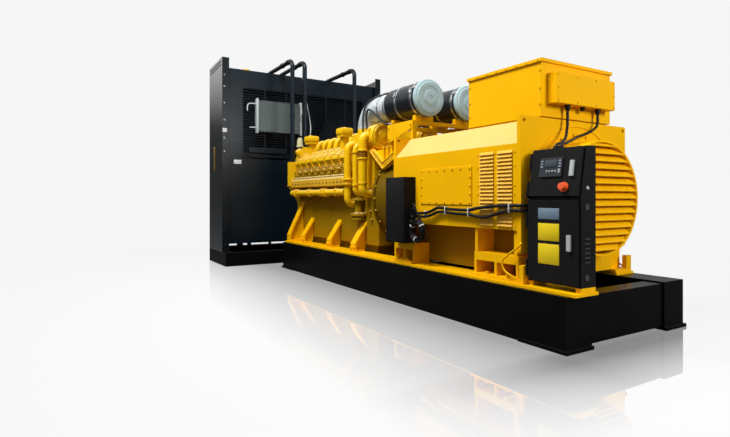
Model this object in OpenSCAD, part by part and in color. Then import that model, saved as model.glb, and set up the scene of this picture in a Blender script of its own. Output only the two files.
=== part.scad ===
// Diesel generating set: a V engine and an alternator on a rail base, with a control
// cabinet on the deck and a free-standing radiator on its own plinth.
// Lengths along the set are distances from the generator end of the rails. The near
// side, with the control cabinet, is -Y and the generator end is +X.

/* [Base frame] */
// Width over both rails
base_w = 1484; // [1460:2:1600]
// Height of the rails
base_h = 385; // [320:5:450]
// Width of one rail
rail_w = 280; // [240:5:300]
// Thickness of the deck plates on the rails
deck_t = 22; // [12:1:30]
// How far the near deck plate runs past the generator end
deck_over = 50; // [40:5:80]

/* [Engine] */
// Height of the shaft line above the deck plates
shaft_h = 643; // [640:1:680]
// Lean of each cylinder bank from upright
bank_angle = 36; // [34:1:38]
// Cylinders in one bank
bank_cylinders = 8; // [6:1:8]
// Distance between neighbouring cylinders
cyl_pitch = 205; // [195:1:206]
// Length of the flywheel housing
housing_len = 620; // [600:5:640]
// Distance from the rear of the crankcase to the banks
bank_set = 600; // [580:5:640]
// Half width of the crankcase
block_half = 450; // [430:5:455]
// Height of a cylinder head
head_h = 140; // [120:2:150]
// Width of a cylinder head across its bank
head_w = 340; // [300:5:350]
// Height of a valve cover
cover_h = 120; // [90:2:130]
// Radius of the flywheel housing
flywheel_r = 530; // [520:5:580]
// Radius of each water manifold
manifold_r = 44; // [36:1:48]

/* [Air intake] */
// Radius of an air cleaner
cleaner_r = 190; // [170:2:195]
// Length of an air cleaner's black body
cleaner_len = 560; // [500:10:600]
// Distance between the two air cleaners
cleaner_pitch = 560; // [540:10:620]
// Radius of the silver intake ducts
duct_r = 165; // [140:2:168]

/* [Alternator] */
// Distance from the generator end to the alternator's end frame
alt_d = 450; // [440:5:480]
// Length over both alternator frames
alt_len = 1690; // [1680:5:1700]
// Half width of the alternator over its air boxes
alt_half = 667; // [640:1:680]
// Half width of the stator body
stator_half = 460; // [440:5:480]
// Radius of the round louvred end cover
grille_r = 455; // [420:5:480]
// How far the round end cover stands out from its frame
grille_out = 240; // [200:5:260]
// Slats in the round end cover
grille_slats = 15; // [10:1:16]
// Louvres in each side panel
side_louvre_count = 20; // [12:1:22]
// Length of the terminal box
terminal_len = 807; // [700:5:850]
// Half width of the terminal box
terminal_half = 442; // [400:2:455]
// Height of the terminal box
terminal_h = 450; // [400:5:480]

/* [Control cabinet] */
// Width of the cabinet
cab_w = 440; // [420:5:445]
// Depth of the cabinet at its foot
cab_depth = 160; // [150:5:165]
// Height of the lower compartment
cab_low_h = 610; // [580:5:640]
// Height of the sloping upper compartment
cab_up_h = 360; // [340:5:380]
// How far the top edge leans back
cab_lean = 60; // [40:2:70]
// Thickness of the cabinet sheet
cab_sheet = 6; // [4:1:8]
// Thickness of the doors
door_t = 18; // [14:1:22]

/* [Radiator] */
// Clear distance between the gear case and the radiator
rad_gap = 560; // [480:10:760]
// Width of the radiator
rad_w = 2950; // [2850:10:3050]
// Depth of the radiator
rad_depth = 780; // [760:5:850]
// Height of the radiator's side plates above the plinth
rad_h = 2920; // [2850:10:2960]
// Height of the plinth
plinth_h = 230; // [180:5:260]
// How far the plinth stands out in front
plinth_out = 200; // [150:5:240]
// Radius of the fan
fan_r = 1030; // [950:10:1060]
// Fan blades
fan_blades = 8; // [5:1:10]
// Bars in the fan guard
guard_bars = 28; // [20:1:32]
// Radius of the coolant pipes
pipe_r = 34; // [28:1:38]

/* [Hidden] */
$fn = 48;

// Overrun of every cut, and the clearance left between curved faces that meet
over = 10;
fit = 0.3;

// Places along the set, from the generator end towards the radiator
block_end = 20;
base_short = 20;
front_t = 120;
frame_end_d = alt_d + alt_len;
block_rear_d = frame_end_d + housing_len;
bank_d = block_rear_d + bank_set;
bank_len = bank_cylinders * cyl_pitch;
front_d = bank_d + bank_len + block_end;
base_len = front_d - base_short;
rad_d = front_d + front_t + rad_gap;
rad_back_d = rad_d + rad_depth;

// Frame: the origin is under the middle of the set
mid_d = (rad_back_d - deck_over) / 2;
deck_z = base_h + deck_t;
shaft_z = deck_z + shaft_h;
rail_y = base_w / 2 - rail_w;

// Base details
foot_lip = 18;
foot_lip_t = 25;
foot_lip_len = 420;
cross_beam_w = 140;
cross_beam_drop = 70;
cross_beam_d_shares = [0.25, 0.47, 0.72];
end_beam_set = 15;
end_beam_low = 30;
end_beam_drop = 12;
deck_inset = 30;
far_deck_set = 50;

// Engine details
skirt = 560;
head_seat = 520;
seat_gap = 0.05;
bank_half = 190;
valley_half = 120;
valley_up = 350;
head_gap = 12;
cover_inset = 20;
cover_w = head_w - 2 * cover_inset;
cover_round = 30;
ledge_drop = 160;
ledge_tip = 16;
ledge_out = 150;
ledge_h = 95;
ledge_root = 60;
ledge_slope = 65;
foot_y = 620;
foot_kink = 100;
foot_top = 360;
foot_w = 110;
foot_plate = 24;
foot_web = 20;
rear_foot_set = 320;
foot_shares = [0.22, 0.73];
foot_ds = concat([block_rear_d + rear_foot_set], [for (share = foot_shares) bank_d + share * bank_len]);
front_foot_y = 690;
front_foot_top = 600;
front_out = 160;
front_waist = 48;
front_step = 105;
front_shoulder = 560;
front_top = 800;
front_top_half = 400;
sump_clear = 62;
sump_drop = 155;
sump_set = 100;
sump_front = 260;
damper_r = 260;
damper_t = 110;
housing_flange = 20;
housing_flange_t = 40;
manifold_up = 78;
manifold_start = 15;
manifold_out = 125;
manifold_bend = 80;
manifold_stub_r = 30;
manifold_collar = 14;
manifold_collar_t = 18;
exhaust_r = 100;
exhaust_up = 820;
cap_size = 150;
cap_h = 70;
cap_neck = 84;
cap_y = 410;
cap_low = 810;
cap_cylinder_shares = [0.1875, 0.8125];
riser_sets = [65, 225, 395];
riser_rs = [44, 36, 52];
riser_turns = [80, 60, 60];
riser_lows = [10, 120, 120];
riser_ups = [670, 640, 740];

// Charge-air details
cooler_half = 430;
turbo_len = 495;
turbo_run = 150;
turbo_y = 334;
turbo_up = 735;
turbo_r = 165;
turbo_boss_y = 500;
turbo_boss_in = 180;
turbo_boss_len = 450;
turbo_clear = 15;
boss_tops = [830, 750];
boss_lows = [670, 550];
boss_step = 145;
pedestal_in = 190;
cooler_low = 325;
cooler_gap = 20;
cooler_shelf = 5;
cooler_valley_set = 116;
cooler_rear_set = 280;
cooler_rear_up = 430;
cooler_wall_up = 510;
strip_w = 100;
strip_t = 40;
strip_run = 331;
strip_up = 265;
cleaner_up = 1070;
cleaner_set = 130;
cap_face_t = 60;
cap_boss_t = 15;
cap_boss_share = 0.7;
cap_rim = 6;
duct_bend = 205;
duct_set = 130;
leg_w = 50;
leg_y = 400;
gusset_t = 14;
gusset_drop = 150;
gusset_run = 450;
tray_h = 40;
tray_w = 60;
tray_half = 450;
tray_set = 30;
tray_len = 470;
saddle_h = 60;
tray_gap = 50;
saddle_t = 50;
saddle_ys = [160, 400];

// Alternator details
frame_t = 40;
frame_rise = 10;
frame_drop = 416;
alt_up = 620;
air_box_drop = 245;
air_box_side = 665;
roof_y = 480;
lug_r = 34;
lug_hole_r = 14;
ring_r = 592;
ring_w = 10;
ring_t = 6;
grille_wall = 18;
slat_t = 10;
slat_w = 70;
slat_angle = 42;
louvre_d = 83;
louvre_len = 155;
louvre_gap = 39;
louvre_z = 25;
louvre_h = 600;
louvre_t = 14;
louvre_share = 0.8;
panel_t = 8;
panel_d = 527;
panel_len = 700;
panel_z = 190;
panel_h = 326;
alt_foot_len = 475;
drive_foot_len = 330;
alt_foot_h = 198;
alt_foot_beam = 68;
alt_foot_plate = 25;
alt_foot_y = 690;
alt_foot_inset = 40;
alt_foot_web_shares = [0, 0.47, 0.95];
foot_rib_w = 30;
foot_pad_set = 42;
foot_pad_len = 40;
foot_pad_w = 70;
foot_pad_h = 140;
foot_rib_shares = [0.03, 0.92];
terminal_base = 20;
lid_t = 26;
lid_out = 14;
conn_depth = 90;
conn_w = 744;
conn_h = 240;
conn_drop = 110;

// Cabinet details
cab_gap = 50;
cab_d = alt_d - cab_gap;
cab_back_y = 480;
cab_foot = 33;
cab_lip = 26;
door_gap = 5;
door_side = 12;
hinge_r = 9;
hinge_off = 1;
hinge_len = 60;
hinge_leaf = 6;
hinge_pin_r = 4;
hinge_shares = [0.16, 0.74];
stand_w = 40;
controller_w = 190;
controller_h = 138;
controller_t = 12;
controller_x_share = 0.44;
controller_z_share = 0.60;
stop_r = 35;
stop_ring_t = 10;
stop_neck_r = 14;
stop_neck_h = 16;
stop_head_r = 24;
stop_head_h = 16;
stop_x_share = 0.72;
stop_z_share = 0.205;
handle_w = 26;
handle_len = 110;
handle_t = 22;
handle_x_share = 0.84;
up_handle_z_share = 0.56;
low_handle_z_share = 0.497;

// Junction box and leads
jbox_set = 377;
jbox_d = frame_end_d - jbox_set;
jbox_len = 322;
jbox_depth = 134;
jbox_h = 642;
jbox_z = 615;
coil_r = 88;
coil_band = 24;
coil_z = 740;
lead_r = 14;
lead_sides = 8;
// Main lead from the junction box along the air box to the cabinet: d, y, z
lead_route = [[1763, -720, 910], [1700, -720, 910], [1620, -718, 910], [1540, -712, 914], [1460, -706, 936],
    [1390, -702, 962], [1320, -700, 964], [1260, -700, 957], [1160, -700, 952], [1060, -700, 950],
    [970, -700, 952], [880, -700, 968], [780, -700, 980], [680, -700, 988], [580, -700, 992],
    [530, -697, 994], [500, -693, 995], [465, -690, 995],
    [450, -687, 995], [437, -678, 995], [428, -665, 995], [425, -650, 995],
    [425, -600, 995], [422, -587, 995], [413, -578, 995], [406, -575, 995], [400, -575, 995]];
// Second lead, which sags below the first near the cabinet
low_lead_route = [[1763, -720, 878], [1700, -720, 878], [1620, -718, 878], [1540, -712, 880], [1460, -706, 900],
    [1390, -702, 924], [1320, -700, 930], [1250, -700, 924], [1160, -700, 918], [1060, -700, 916],
    [970, -700, 914], [900, -700, 902], [820, -700, 896], [740, -700, 906], [660, -700, 928],
    [580, -700, 946], [530, -697, 955], [500, -693, 958], [465, -690, 958],
    [450, -687, 958], [437, -678, 958], [428, -665, 958], [425, -650, 958],
    [425, -600, 958], [422, -587, 958], [413, -578, 958], [406, -575, 958], [400, -575, 958]];
cable_r = 16;
// Cables from the connection box down to the top of the cabinet: d, y, z
cable_routes = [
    [[405, -186, 1790], [405, -186, 1740], [403, -188, 1690], [396, -198, 1640], [380, -228, 1580],
        [352, -275, 1535], [320, -330, 1505], [290, -395, 1480], [262, -460, 1460], [249, -512, 1446],
        [245, -530, 1430], [245, -530, 1410]],
    [[405, 202, 1790], [405, 202, 1740], [402, 199, 1690], [400, 186, 1655], [399, 150, 1625],
        [397, 95, 1598], [394, 20, 1572], [386, -49, 1555], [365, -120, 1538], [335, -190, 1520],
        [300, -265, 1500], [265, -340, 1482], [232, -415, 1466], [210, -470, 1452], [202, -514, 1444],
        [200, -532, 1430], [200, -532, 1410]]];

// Radiator details
plinth_beam = 150;
plinth_gap = 25;
sill_h = 30;
sill_clear = 20;
post_t = 80;
post_ys = [444, 823, 987];
post_ws = [26, 48, 88];
side_t = 14;
side_flange = 110;
side_rises = [120, 87];
core_t = 300;
core_back = 60;
tank_lap = 40;
tank_h = 130;
tank_drop = 90;
shroud_t = 10;
guard_border = 346;
guard_top = 310;
guard_bottom = 370;
guard_sill = 1460;
panel_lift = 94;
panel_drop = 25;
guard_bar = 10;
guard_posts = 6;
guard_post = 24;
guard_d = 70;
rail_bar_hs = [30, 85];
rail_bar_len = 640;
rail_bar_y = 1030;
rail_bar_zs = [1720, 1795];
panel_sheet = 6;
fan_hub_r = 180;
fan_hub_l = 90;
fan_root_r = 150;
blade_chord = 230;
blade_t = 12;
blade_pitch = 32;
blade_phase = 16;
fan_d = 250;
shaft_r = 40;
bearing_r = 95;
bearing_l = 140;
beam_h = 160;
beam_t = 60;
oil_y = 928;
oil_w = 780;
oil_h = 470;
oil_t = 70;
oil_z = 2150;
oil_frame = 26;
oil_bracket = 30;
pipe_y = 556;
vent_y = 345;
pipe_up = 2150;
pipe_bend = 110;
pipe_flange_r = 48;
pipe_flange_t = 22;
pipe_drop_d = 460;
filler_r = 55;
filler_h = 70;
filler_y = 950;

// Derived places shared by several pieces
far_deck_d = alt_d - far_deck_set;
sump_half = rail_y - sump_clear;
core_d = rad_back_d - core_back - core_t;
fan_z = plinth_h + guard_bottom + (rad_h - guard_top - guard_bottom) / 2;
opening_half = rad_w / 2 - guard_border;
opening_low = plinth_h + guard_bottom;
guard_low = plinth_h + guard_sill;
panel_low = plinth_h + panel_lift;
opening_top = plinth_h + rad_h - guard_top;
tank_top = plinth_h + rad_h - tank_drop;
cab_z = deck_z + cab_foot;
cab_split = cab_z + cab_low_h;
cab_top = cab_split + cab_up_h;
cab_front_y = cab_back_y + cab_depth;
cab_tilt = atan(cab_lean / cab_up_h);
cab_slant = cab_up_h / cos(cab_tilt);
hinge_x = door_side - hinge_r - hinge_off;
conn_d = alt_d - conn_depth;
cleaner_d = frame_end_d - cleaner_set;
tray_d = frame_end_d - tray_set;
tray_end_d = tray_d + tray_len;
duct_end_d = cleaner_d + cap_face_t + cleaner_len;
cleaner_z = shaft_z + cleaner_up;
turbo_z = shaft_z + turbo_up;
turbo_end_d = bank_d - turbo_clear;
turbo_d = turbo_end_d - turbo_len;
boss_d = turbo_end_d - turbo_boss_len;
cooler_valley_d = block_rear_d - cooler_valley_set;
cooler_rear_d = frame_end_d + cooler_rear_set;
cooler_front_d = boss_d - cooler_gap;
cooler_top = turbo_up - turbo_r - cooler_shelf;
duct_low = cleaner_z - duct_bend;
duct_down_d = turbo_end_d - duct_set;
tray_top = cleaner_z - cleaner_r - tray_gap;

// Placing helpers
function gx(d) = mid_d - d;
function bank_point(u, v) =
    [-u * sin(bank_angle) + v * cos(bank_angle), u * cos(bank_angle) + v * sin(bank_angle)];
function flip(points) = [for (i = [len(points) - 1:-1:0]) [-points[i][0], points[i][1]]];

module block(d0, d1, y0, y1, z0, z1)
    translate([gx(d1), y0, z0])
        cube([d1 - d0, y1 - y0, z1 - z0]);

module along_x(d0, d1)
    translate([gx(d1), 0, 0])
        rotate([90, 0, 90])
            linear_extrude(d1 - d0)
                children();

module along_y(y0, y1)
    translate([0, y1, 0])
        rotate([90, 0, 0])
            linear_extrude(y1 - y0)
                children();

module rod_x(d0, d1, y, z, r)
    translate([gx(d1), y, z])
        rotate([0, 90, 0])
            cylinder(h = d1 - d0, r = r);

module rod_y(d, y0, y1, z, r)
    translate([gx(d), y1, z])
        rotate([90, 0, 0])
            cylinder(h = y1 - y0, r = r);

module rod_z(d, y, z0, z1, r)
    translate([gx(d), y, z0])
        cylinder(h = z1 - z0, r = r);

module both_sides() {
    children();
    mirror([0, 1, 0])
        children();
}

// A quarter pipe bend in its own plane: it starts along +X from the origin and turns to +Y
module bend(r, turn)
    translate([0, turn, 0])
        rotate([0, 0, -90])
            rotate_extrude(angle = 90)
                translate([turn, 0])
                    circle(r = r);

// A quarter bend that starts at a point along one direction and turns to another
module bend_at(d, y, z, from, to, r, turn) {
    across = cross(from, to);
    multmatrix([[from[0], to[0], across[0], gx(d)], [from[1], to[1], across[1], y],
            [from[2], to[2], across[2], z], [0, 0, 0, 1]])
        bend(r, turn);
}

// Sweep of a round lead along its route, as one closed tube
function unit(v) = v / norm(v);
function place(p) = [gx(p[0]), p[1], p[2]];
function tangent(points, i) = unit(points[min(i + 1, len(points) - 1)] - points[max(i - 1, 0)]);
function ring_points(p, t, r, ref) =
    let (s = unit(cross(t, ref)), u = cross(s, t))
    [for (k = [0:lead_sides - 1]) p + r * (cos(360 * k / lead_sides) * s + sin(360 * k / lead_sides) * u)];
module lead(route, r, ref) {
    points = [for (p = route) place(p)];
    n = len(points);
    sides = lead_sides;
    rings = [for (i = [0:n - 1]) each ring_points(points[i], tangent(points, i), r, ref)];
    walls = [for (i = [0:n - 2], k = [0:sides - 1])
        [i * sides + k, i * sides + (k + 1) % sides, (i + 1) * sides + (k + 1) % sides, (i + 1) * sides + k]];
    start = [[for (k = [sides - 1:-1:0]) k]];
    end = [[for (k = [0:sides - 1]) (n - 1) * sides + k]];
    polyhedron(points = rings, faces = concat(start, walls, end));
}

// Base frame
module base_rails()
    color("#1b1b1d")
        both_sides() {
            block(0, base_len, -base_w / 2, -rail_y, 0, base_h);
            for (d = [-foot_lip, base_len + foot_lip - foot_lip_len])
                block(d, d + foot_lip_len, -base_w / 2 - foot_lip, -rail_y, 0, foot_lip_t);
        }

module base_cross_beams()
    color("#19191b") {
        for (share = cross_beam_d_shares)
            block(share * base_len, share * base_len + cross_beam_w, -rail_y, rail_y,
                cross_beam_drop, base_h - cross_beam_drop);
        for (d = [end_beam_set, base_len - end_beam_set - cross_beam_w])
            block(d, d + cross_beam_w, -rail_y, rail_y, end_beam_low, base_h - end_beam_drop);
    }

module deck_plates()
    color("#f2b40a") {
        block(-deck_over, base_len, -base_w / 2 + deck_inset, -rail_y, base_h, deck_z);
        block(far_deck_d, base_len, rail_y, base_w / 2 - deck_inset, base_h, deck_z);
    }

// Engine: crankcase with the two bank decks, a skirt and the sump between the rails
module crankcase() {
    outer = bank_point(head_seat, -bank_half);
    inner = bank_point(head_seat, bank_half);
    side = [[-block_half, 0], [-block_half, outer[1] - bank_half / 2], outer, inner, [-valley_half, valley_up]];
    color("#efb10c")
        translate([0, 0, shaft_z]) {
            along_x(bank_d, front_d)
                polygon(concat(side, flip(side)));
            along_x(block_rear_d, front_d)
                translate([-block_half, -skirt])
                    square([2 * block_half, skirt + outer[1] - bank_half]);
            along_x(block_rear_d + sump_set, front_d - sump_front)
                translate([-sump_half, -skirt - sump_drop])
                    square([2 * sump_half, sump_drop]);
        }
}

module foot_bracket(d, y, top) {
    kink = foot_kink;
    along_x(d - foot_web / 2, d + foot_web / 2)
        translate([0, deck_z])
            polygon([[-block_half, foot_plate], [-block_half, top], [-y, kink], [-y, foot_plate]]);
    along_x(d - foot_w / 2, d + foot_w / 2)
        translate([0, deck_z])
            polygon([[-block_half, top], [-y, kink], [-y, 0], [-y + foot_plate, 0],
                [-y + foot_plate, kink], [-block_half, top - foot_plate * 2]]);
    block(d - foot_w / 2, d + foot_w / 2, -y, -rail_y - foot_plate, deck_z, deck_z + foot_plate);
}

module engine_feet()
    color("#f3b611")
        both_sides() {
            for (d = foot_ds)
                foot_bracket(d, foot_y, foot_top);
            foot_bracket(front_d - foot_w, front_foot_y, front_foot_top);
        }

// Gear case over the front of the engine
module gear_case() {
    wide = block_half + front_out;
    side = [[-front_top_half, -skirt], [-block_half, -front_waist], [-wide, bank_half], [-wide, front_shoulder],
        [-wide + front_step, front_shoulder], [-front_top_half, front_top]];
    translate([0, 0, shaft_z])
        along_x(front_d, front_d + front_t)
            polygon(concat(side, flip(side)));
}

module front_cover()
    color("#eeb00e")
        gear_case();

module crank_damper() {
    groove = damper_t / 5;
    color("#2a2a2c")
        translate([gx(front_d + front_t), 0, shaft_z])
            rotate([0, -90, 0])
                rotate_extrude()
                    polygon([[0, 0], [damper_r / 2, 0], [damper_r / 2, groove], [damper_r, groove],
                        [damper_r, 2 * groove], [damper_r - groove, 2 * groove], [damper_r - groove, 3 * groove],
                        [damper_r, 3 * groove], [damper_r, 4 * groove], [damper_r / 3, 4 * groove],
                        [damper_r / 3, damper_t], [0, damper_t]]);
}

module flywheel_housing()
    color("#d89c0a")
        difference() {
            union() {
                rod_x(frame_end_d, block_rear_d, 0, shaft_z, flywheel_r);
                for (d = [frame_end_d, block_rear_d - housing_flange_t])
                    rod_x(d, d + housing_flange_t, 0, shaft_z, flywheel_r + housing_flange);
            }
            block(frame_end_d - over, block_rear_d + over, -base_w, base_w, 0, shaft_z - skirt);
        }

// Cylinder heads: one per cylinder, on the leaning decks of the banks
module on_bank(i)
    translate([gx(bank_d + (i + 1) * cyl_pitch - head_gap / 2), 0, shaft_z])
        rotate([bank_angle, 0, 0])
            children();

module cylinder_heads() {
    length = cyl_pitch - head_gap;
    port_r = head_h / 4;
    color("#e9ab0c")
        both_sides()
            for (i = [0:bank_cylinders - 1])
                on_bank(i) {
                    translate([0, -head_w / 2, head_seat + seat_gap])
                        cube([length, head_w, head_h - seat_gap]);
                    translate([length / 2, -head_w / 2, head_seat + head_h / 2])
                        rotate([90, 0, 0])
                            cylinder(h = port_r, r = port_r);
                }
}

module valve_covers() {
    length = cyl_pitch - 4 * head_gap;
    side = cover_w / 2;
    color("#f5bb18")
        both_sides()
            for (i = [0:bank_cylinders - 1])
                on_bank(i)
                    translate([1.5 * head_gap, 0, head_seat + head_h])
                        rotate([90, 0, 90])
                            linear_extrude(length)
                                polygon([[-side, 0], [-side, cover_h - cover_round], [-side + cover_round, cover_h],
                                    [side - cover_round, cover_h], [side, cover_h - cover_round], [side, 0]]);
}

// Long ledge below each row of heads
module side_ledges() {
    z0 = bank_point(head_seat, -bank_half)[1] - ledge_drop;
    color("#f4b914")
        both_sides()
            translate([0, 0, shaft_z])
                along_x(bank_d, front_d)
                    polygon([[-block_half, z0], [-block_half - ledge_out, z0 + ledge_tip],
                        [-block_half - ledge_out, z0 + ledge_tip + ledge_h],
                        [-block_half - ledge_out + ledge_slope, z0 + ledge_tip + ledge_h + ledge_slope],
                        [-block_half, z0 + ledge_root]]);
}

// Water manifold along each side, with stubs into the crankcase and a bend into the gear case
module water_manifolds() {
    y = -block_half - manifold_out;
    z = shaft_z + manifold_up;
    step = cyl_pitch * 2;
    stubs = bank_cylinders / 2;
    end_d = front_d + front_t / 2 - manifold_bend;
    color("#f4b813")
        difference() {
            both_sides() {
                rod_x(bank_d - manifold_start, end_d, y, z, manifold_r);
                for (i = [0:stubs - 1]) {
                    d = bank_d + cyl_pitch + i * step;
                    rod_y(d, y, -block_half, z, manifold_stub_r);
                    rod_x(d - manifold_collar_t, d + manifold_collar_t, y, z, manifold_r + manifold_collar);
                }
                bend_at(end_d, y, z, [-1, 0, 0], [0, 1, 0], manifold_r, manifold_bend);
                rod_y(end_d + manifold_bend, y + manifold_bend, -block_half, z, manifold_r);
            }
            gear_case();
        }
}

// Exhaust manifold in the valley between the banks
module exhaust_manifold()
    color("#e2a60c") {
        rod_x(bank_d + head_gap, front_d - head_gap, 0, shaft_z + exhaust_up, exhaust_r);
        for (i = [0:bank_cylinders - 1]) {
            d = bank_d + (i + 0.5) * cyl_pitch;
            rod_x(d - manifold_collar_t, d + manifold_collar_t, 0, shaft_z + exhaust_up,
                exhaust_r + manifold_collar);
            rod_z(d, 0, shaft_z + valley_up, shaft_z + exhaust_up, manifold_stub_r);
        }
    }

// Square-capped breathers that stand on the sloping tops of the valve covers
function cover_top(y) = (head_seat + head_h + cover_h) / cos(bank_angle) + y * tan(bank_angle);
module breather_caps() {
    y0 = -cap_y - cap_neck / 2;
    y1 = -cap_y + cap_neck / 2;
    z = shaft_z + cap_low;
    color("#f0b20e")
        both_sides()
            for (share = cap_cylinder_shares) {
                d = bank_d + share * bank_cylinders * cyl_pitch;
                translate([0, 0, shaft_z])
                    along_x(d - cap_neck / 2, d + cap_neck / 2)
                        polygon([[y0, cover_top(y0)], [y1, cover_top(y1)], [y1, cap_low], [y0, cap_low]]);
                block(d - cap_size / 2, d + cap_size / 2, -cap_y - cap_size / 2, -cap_y + cap_size / 2,
                    z, z + cap_h);
            }
}

// Upright pipes behind each bank: they bend into the turbocharger housings at the top
// and into the crankcase at the bottom
module riser(d, y, r, low, high, turn) {
    bend_at(d, y, high, [0, 0, 1], [0, 1, 0], r, turn);
    rod_z(d, y, low, high, r);
    bend_at(d, y, low, [0, 0, -1], [0, 1, 0], r, turn);
    rod_y(d, y + turn, -block_half, low - turn, r);
}

module riser_pipes()
    color("#f2b510")
        both_sides()
            for (i = [0:len(riser_sets) - 1])
                riser(turbo_end_d - riser_sets[i], -turbo_boss_y - fit - riser_turns[i], riser_rs[i],
                    shaft_z + riser_lows[i], shaft_z + riser_ups[i] - riser_turns[i], riser_turns[i]);

// Charge-air cooler: a hopper-shaped housing across the rear of the engine, with a flange
// strip along the slanted edges of each end
module charge_cooler() {
    outline = [[cooler_front_d, cooler_top], [cooler_front_d, cooler_wall_up], [cooler_valley_d, cooler_low],
        [cooler_rear_d, cooler_rear_up], [cooler_rear_d, cooler_top]];
    strip = [[cooler_valley_d + strip_run, cooler_low + strip_up], [cooler_valley_d, cooler_low],
        [cooler_rear_d, cooler_rear_up], [cooler_rear_d, cooler_rear_up + strip_w],
        [cooler_valley_d, cooler_low + strip_w], [cooler_valley_d + strip_run - strip_w, cooler_low + strip_up]];
    color("#e5a80b")
        difference() {
            union() {
                along_y(-cooler_half, cooler_half)
                    translate([0, shaft_z])
                        polygon([for (p = outline) [gx(p[0]), p[1]]]);
                both_sides()
                    along_y(-cooler_half - strip_t, -cooler_half)
                        translate([0, shaft_z])
                            polygon([for (p = strip) [gx(p[0]), p[1]]]);
            }
            rod_x(frame_end_d - over, block_rear_d, 0, shaft_z, flywheel_r + housing_flange + fit);
        }
}

// Turbocharger housings: a round cover, a body that the risers end on and a pedestal under it
module turbo_housings() {
    outline = [[boss_d, boss_lows[0]], [boss_d, boss_tops[0]], [turbo_end_d, boss_tops[1]],
        [turbo_end_d, boss_lows[1]], [boss_d + boss_step, boss_lows[1]], [boss_d + boss_step, boss_lows[0]]];
    color("#edb00f")
        both_sides() {
            rod_x(turbo_d, turbo_d + turbo_run, -turbo_y, turbo_z, turbo_r);
            along_y(-turbo_boss_y, -turbo_boss_in)
                translate([0, shaft_z])
                    polygon([for (p = outline) [gx(p[0]), p[1]]]);
            rod_z(duct_down_d, -cleaner_pitch / 2, turbo_z, duct_low, duct_r);
            block(boss_d, turbo_end_d, -cooler_half, -pedestal_in,
                shaft_z + bank_point(head_seat, -bank_half)[1] - bank_half, turbo_z);
        }
}

// Air cleaners, their end caps and the silver ducts down to the turbochargers
module air_cleaners()
    color("#26282b")
        both_sides()
            rod_x(cleaner_d + cap_face_t, duct_end_d, -cleaner_pitch / 2, cleaner_z, cleaner_r);

module air_cleaner_caps()
    color("#b8c4ca")
        both_sides() {
            rod_x(cleaner_d + cap_boss_t, cleaner_d + cap_face_t, -cleaner_pitch / 2, cleaner_z, cleaner_r + cap_rim);
            rod_x(cleaner_d, cleaner_d + cap_boss_t, -cleaner_pitch / 2, cleaner_z, cleaner_r * cap_boss_share);
        }

module intake_ducts() {
    straight_end = duct_down_d - duct_bend;
    color("#c9cccd")
        both_sides() {
            rod_x(duct_end_d, straight_end, -cleaner_pitch / 2, cleaner_z, duct_r);
            bend_at(straight_end, -cleaner_pitch / 2, cleaner_z, [-1, 0, 0], [0, 0, -1], duct_r, duct_bend);
        }
}

module air_cleaner_frame() {
    rear_top = shaft_z + alt_up + frame_rise;
    front_z = shaft_z + cooler_top;
    under = tray_top - tray_h;
    color("#efb10d")
        difference() {
            union() {
                difference() {
                    block(tray_d, tray_end_d, -tray_half, tray_half, under, tray_top);
                    block(tray_d + tray_w, tray_end_d - tray_w, -tray_half + tray_w, tray_half - tray_w,
                        under - over, tray_top + over);
                }
                both_sides() {
                    for (d = [cleaner_d + cap_face_t + saddle_t, duct_end_d - 2 * saddle_t])
                        block(d, d + saddle_t, -saddle_ys[1], -saddle_ys[0], under, tray_top + saddle_h);
                    block(frame_end_d - frame_t, frame_end_d, -leg_y - leg_w, -leg_y, rear_top, tray_top);
                    block(tray_end_d - leg_w, tray_end_d, -leg_y - leg_w / 2, -leg_y + leg_w / 2, front_z, tray_top);
                    along_y(-leg_y - leg_w / 2, -leg_y - leg_w / 2 + gusset_t)
                        polygon([[gx(tray_end_d), under - gusset_drop], [gx(tray_end_d), under],
                            [gx(tray_end_d - gusset_run), under]]);
                }
            }
            both_sides()
                rod_x(tray_d - over, tray_end_d + over, -cleaner_pitch / 2, cleaner_z, cleaner_r + 2 * fit);
        }
}

// Alternator
module alternator_body()
    color("#eeb00c")
        block(alt_d + frame_t, frame_end_d - frame_t, -stator_half, stator_half, deck_z + alt_foot_plate,
            shaft_z + alt_up);

module frame_plate(d) {
    top = alt_up + frame_rise;
    side = [[-stator_half, -shaft_h + alt_foot_plate], [-stator_half, -frame_drop], [-alt_half, -frame_drop],
        [-alt_half, top]];
    translate([0, 0, shaft_z])
        difference() {
            along_x(d, d + frame_t)
                polygon(concat(side, flip(side)));
            both_sides()
                rod_x(d - over, d + frame_t + over, -alt_half + lug_r, top - lug_r, lug_hole_r);
        }
}

module alternator_end_frame()
    color("#f3b50f") {
        frame_plate(alt_d);
        translate([gx(alt_d), 0, shaft_z])
            rotate([0, 90, 0])
                rotate_extrude()
                    translate([ring_r - ring_w, 0])
                        square([ring_w, ring_t]);
    }

module alternator_drive_frame()
    color("#f3b50f")
        frame_plate(frame_end_d - frame_t);

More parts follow.
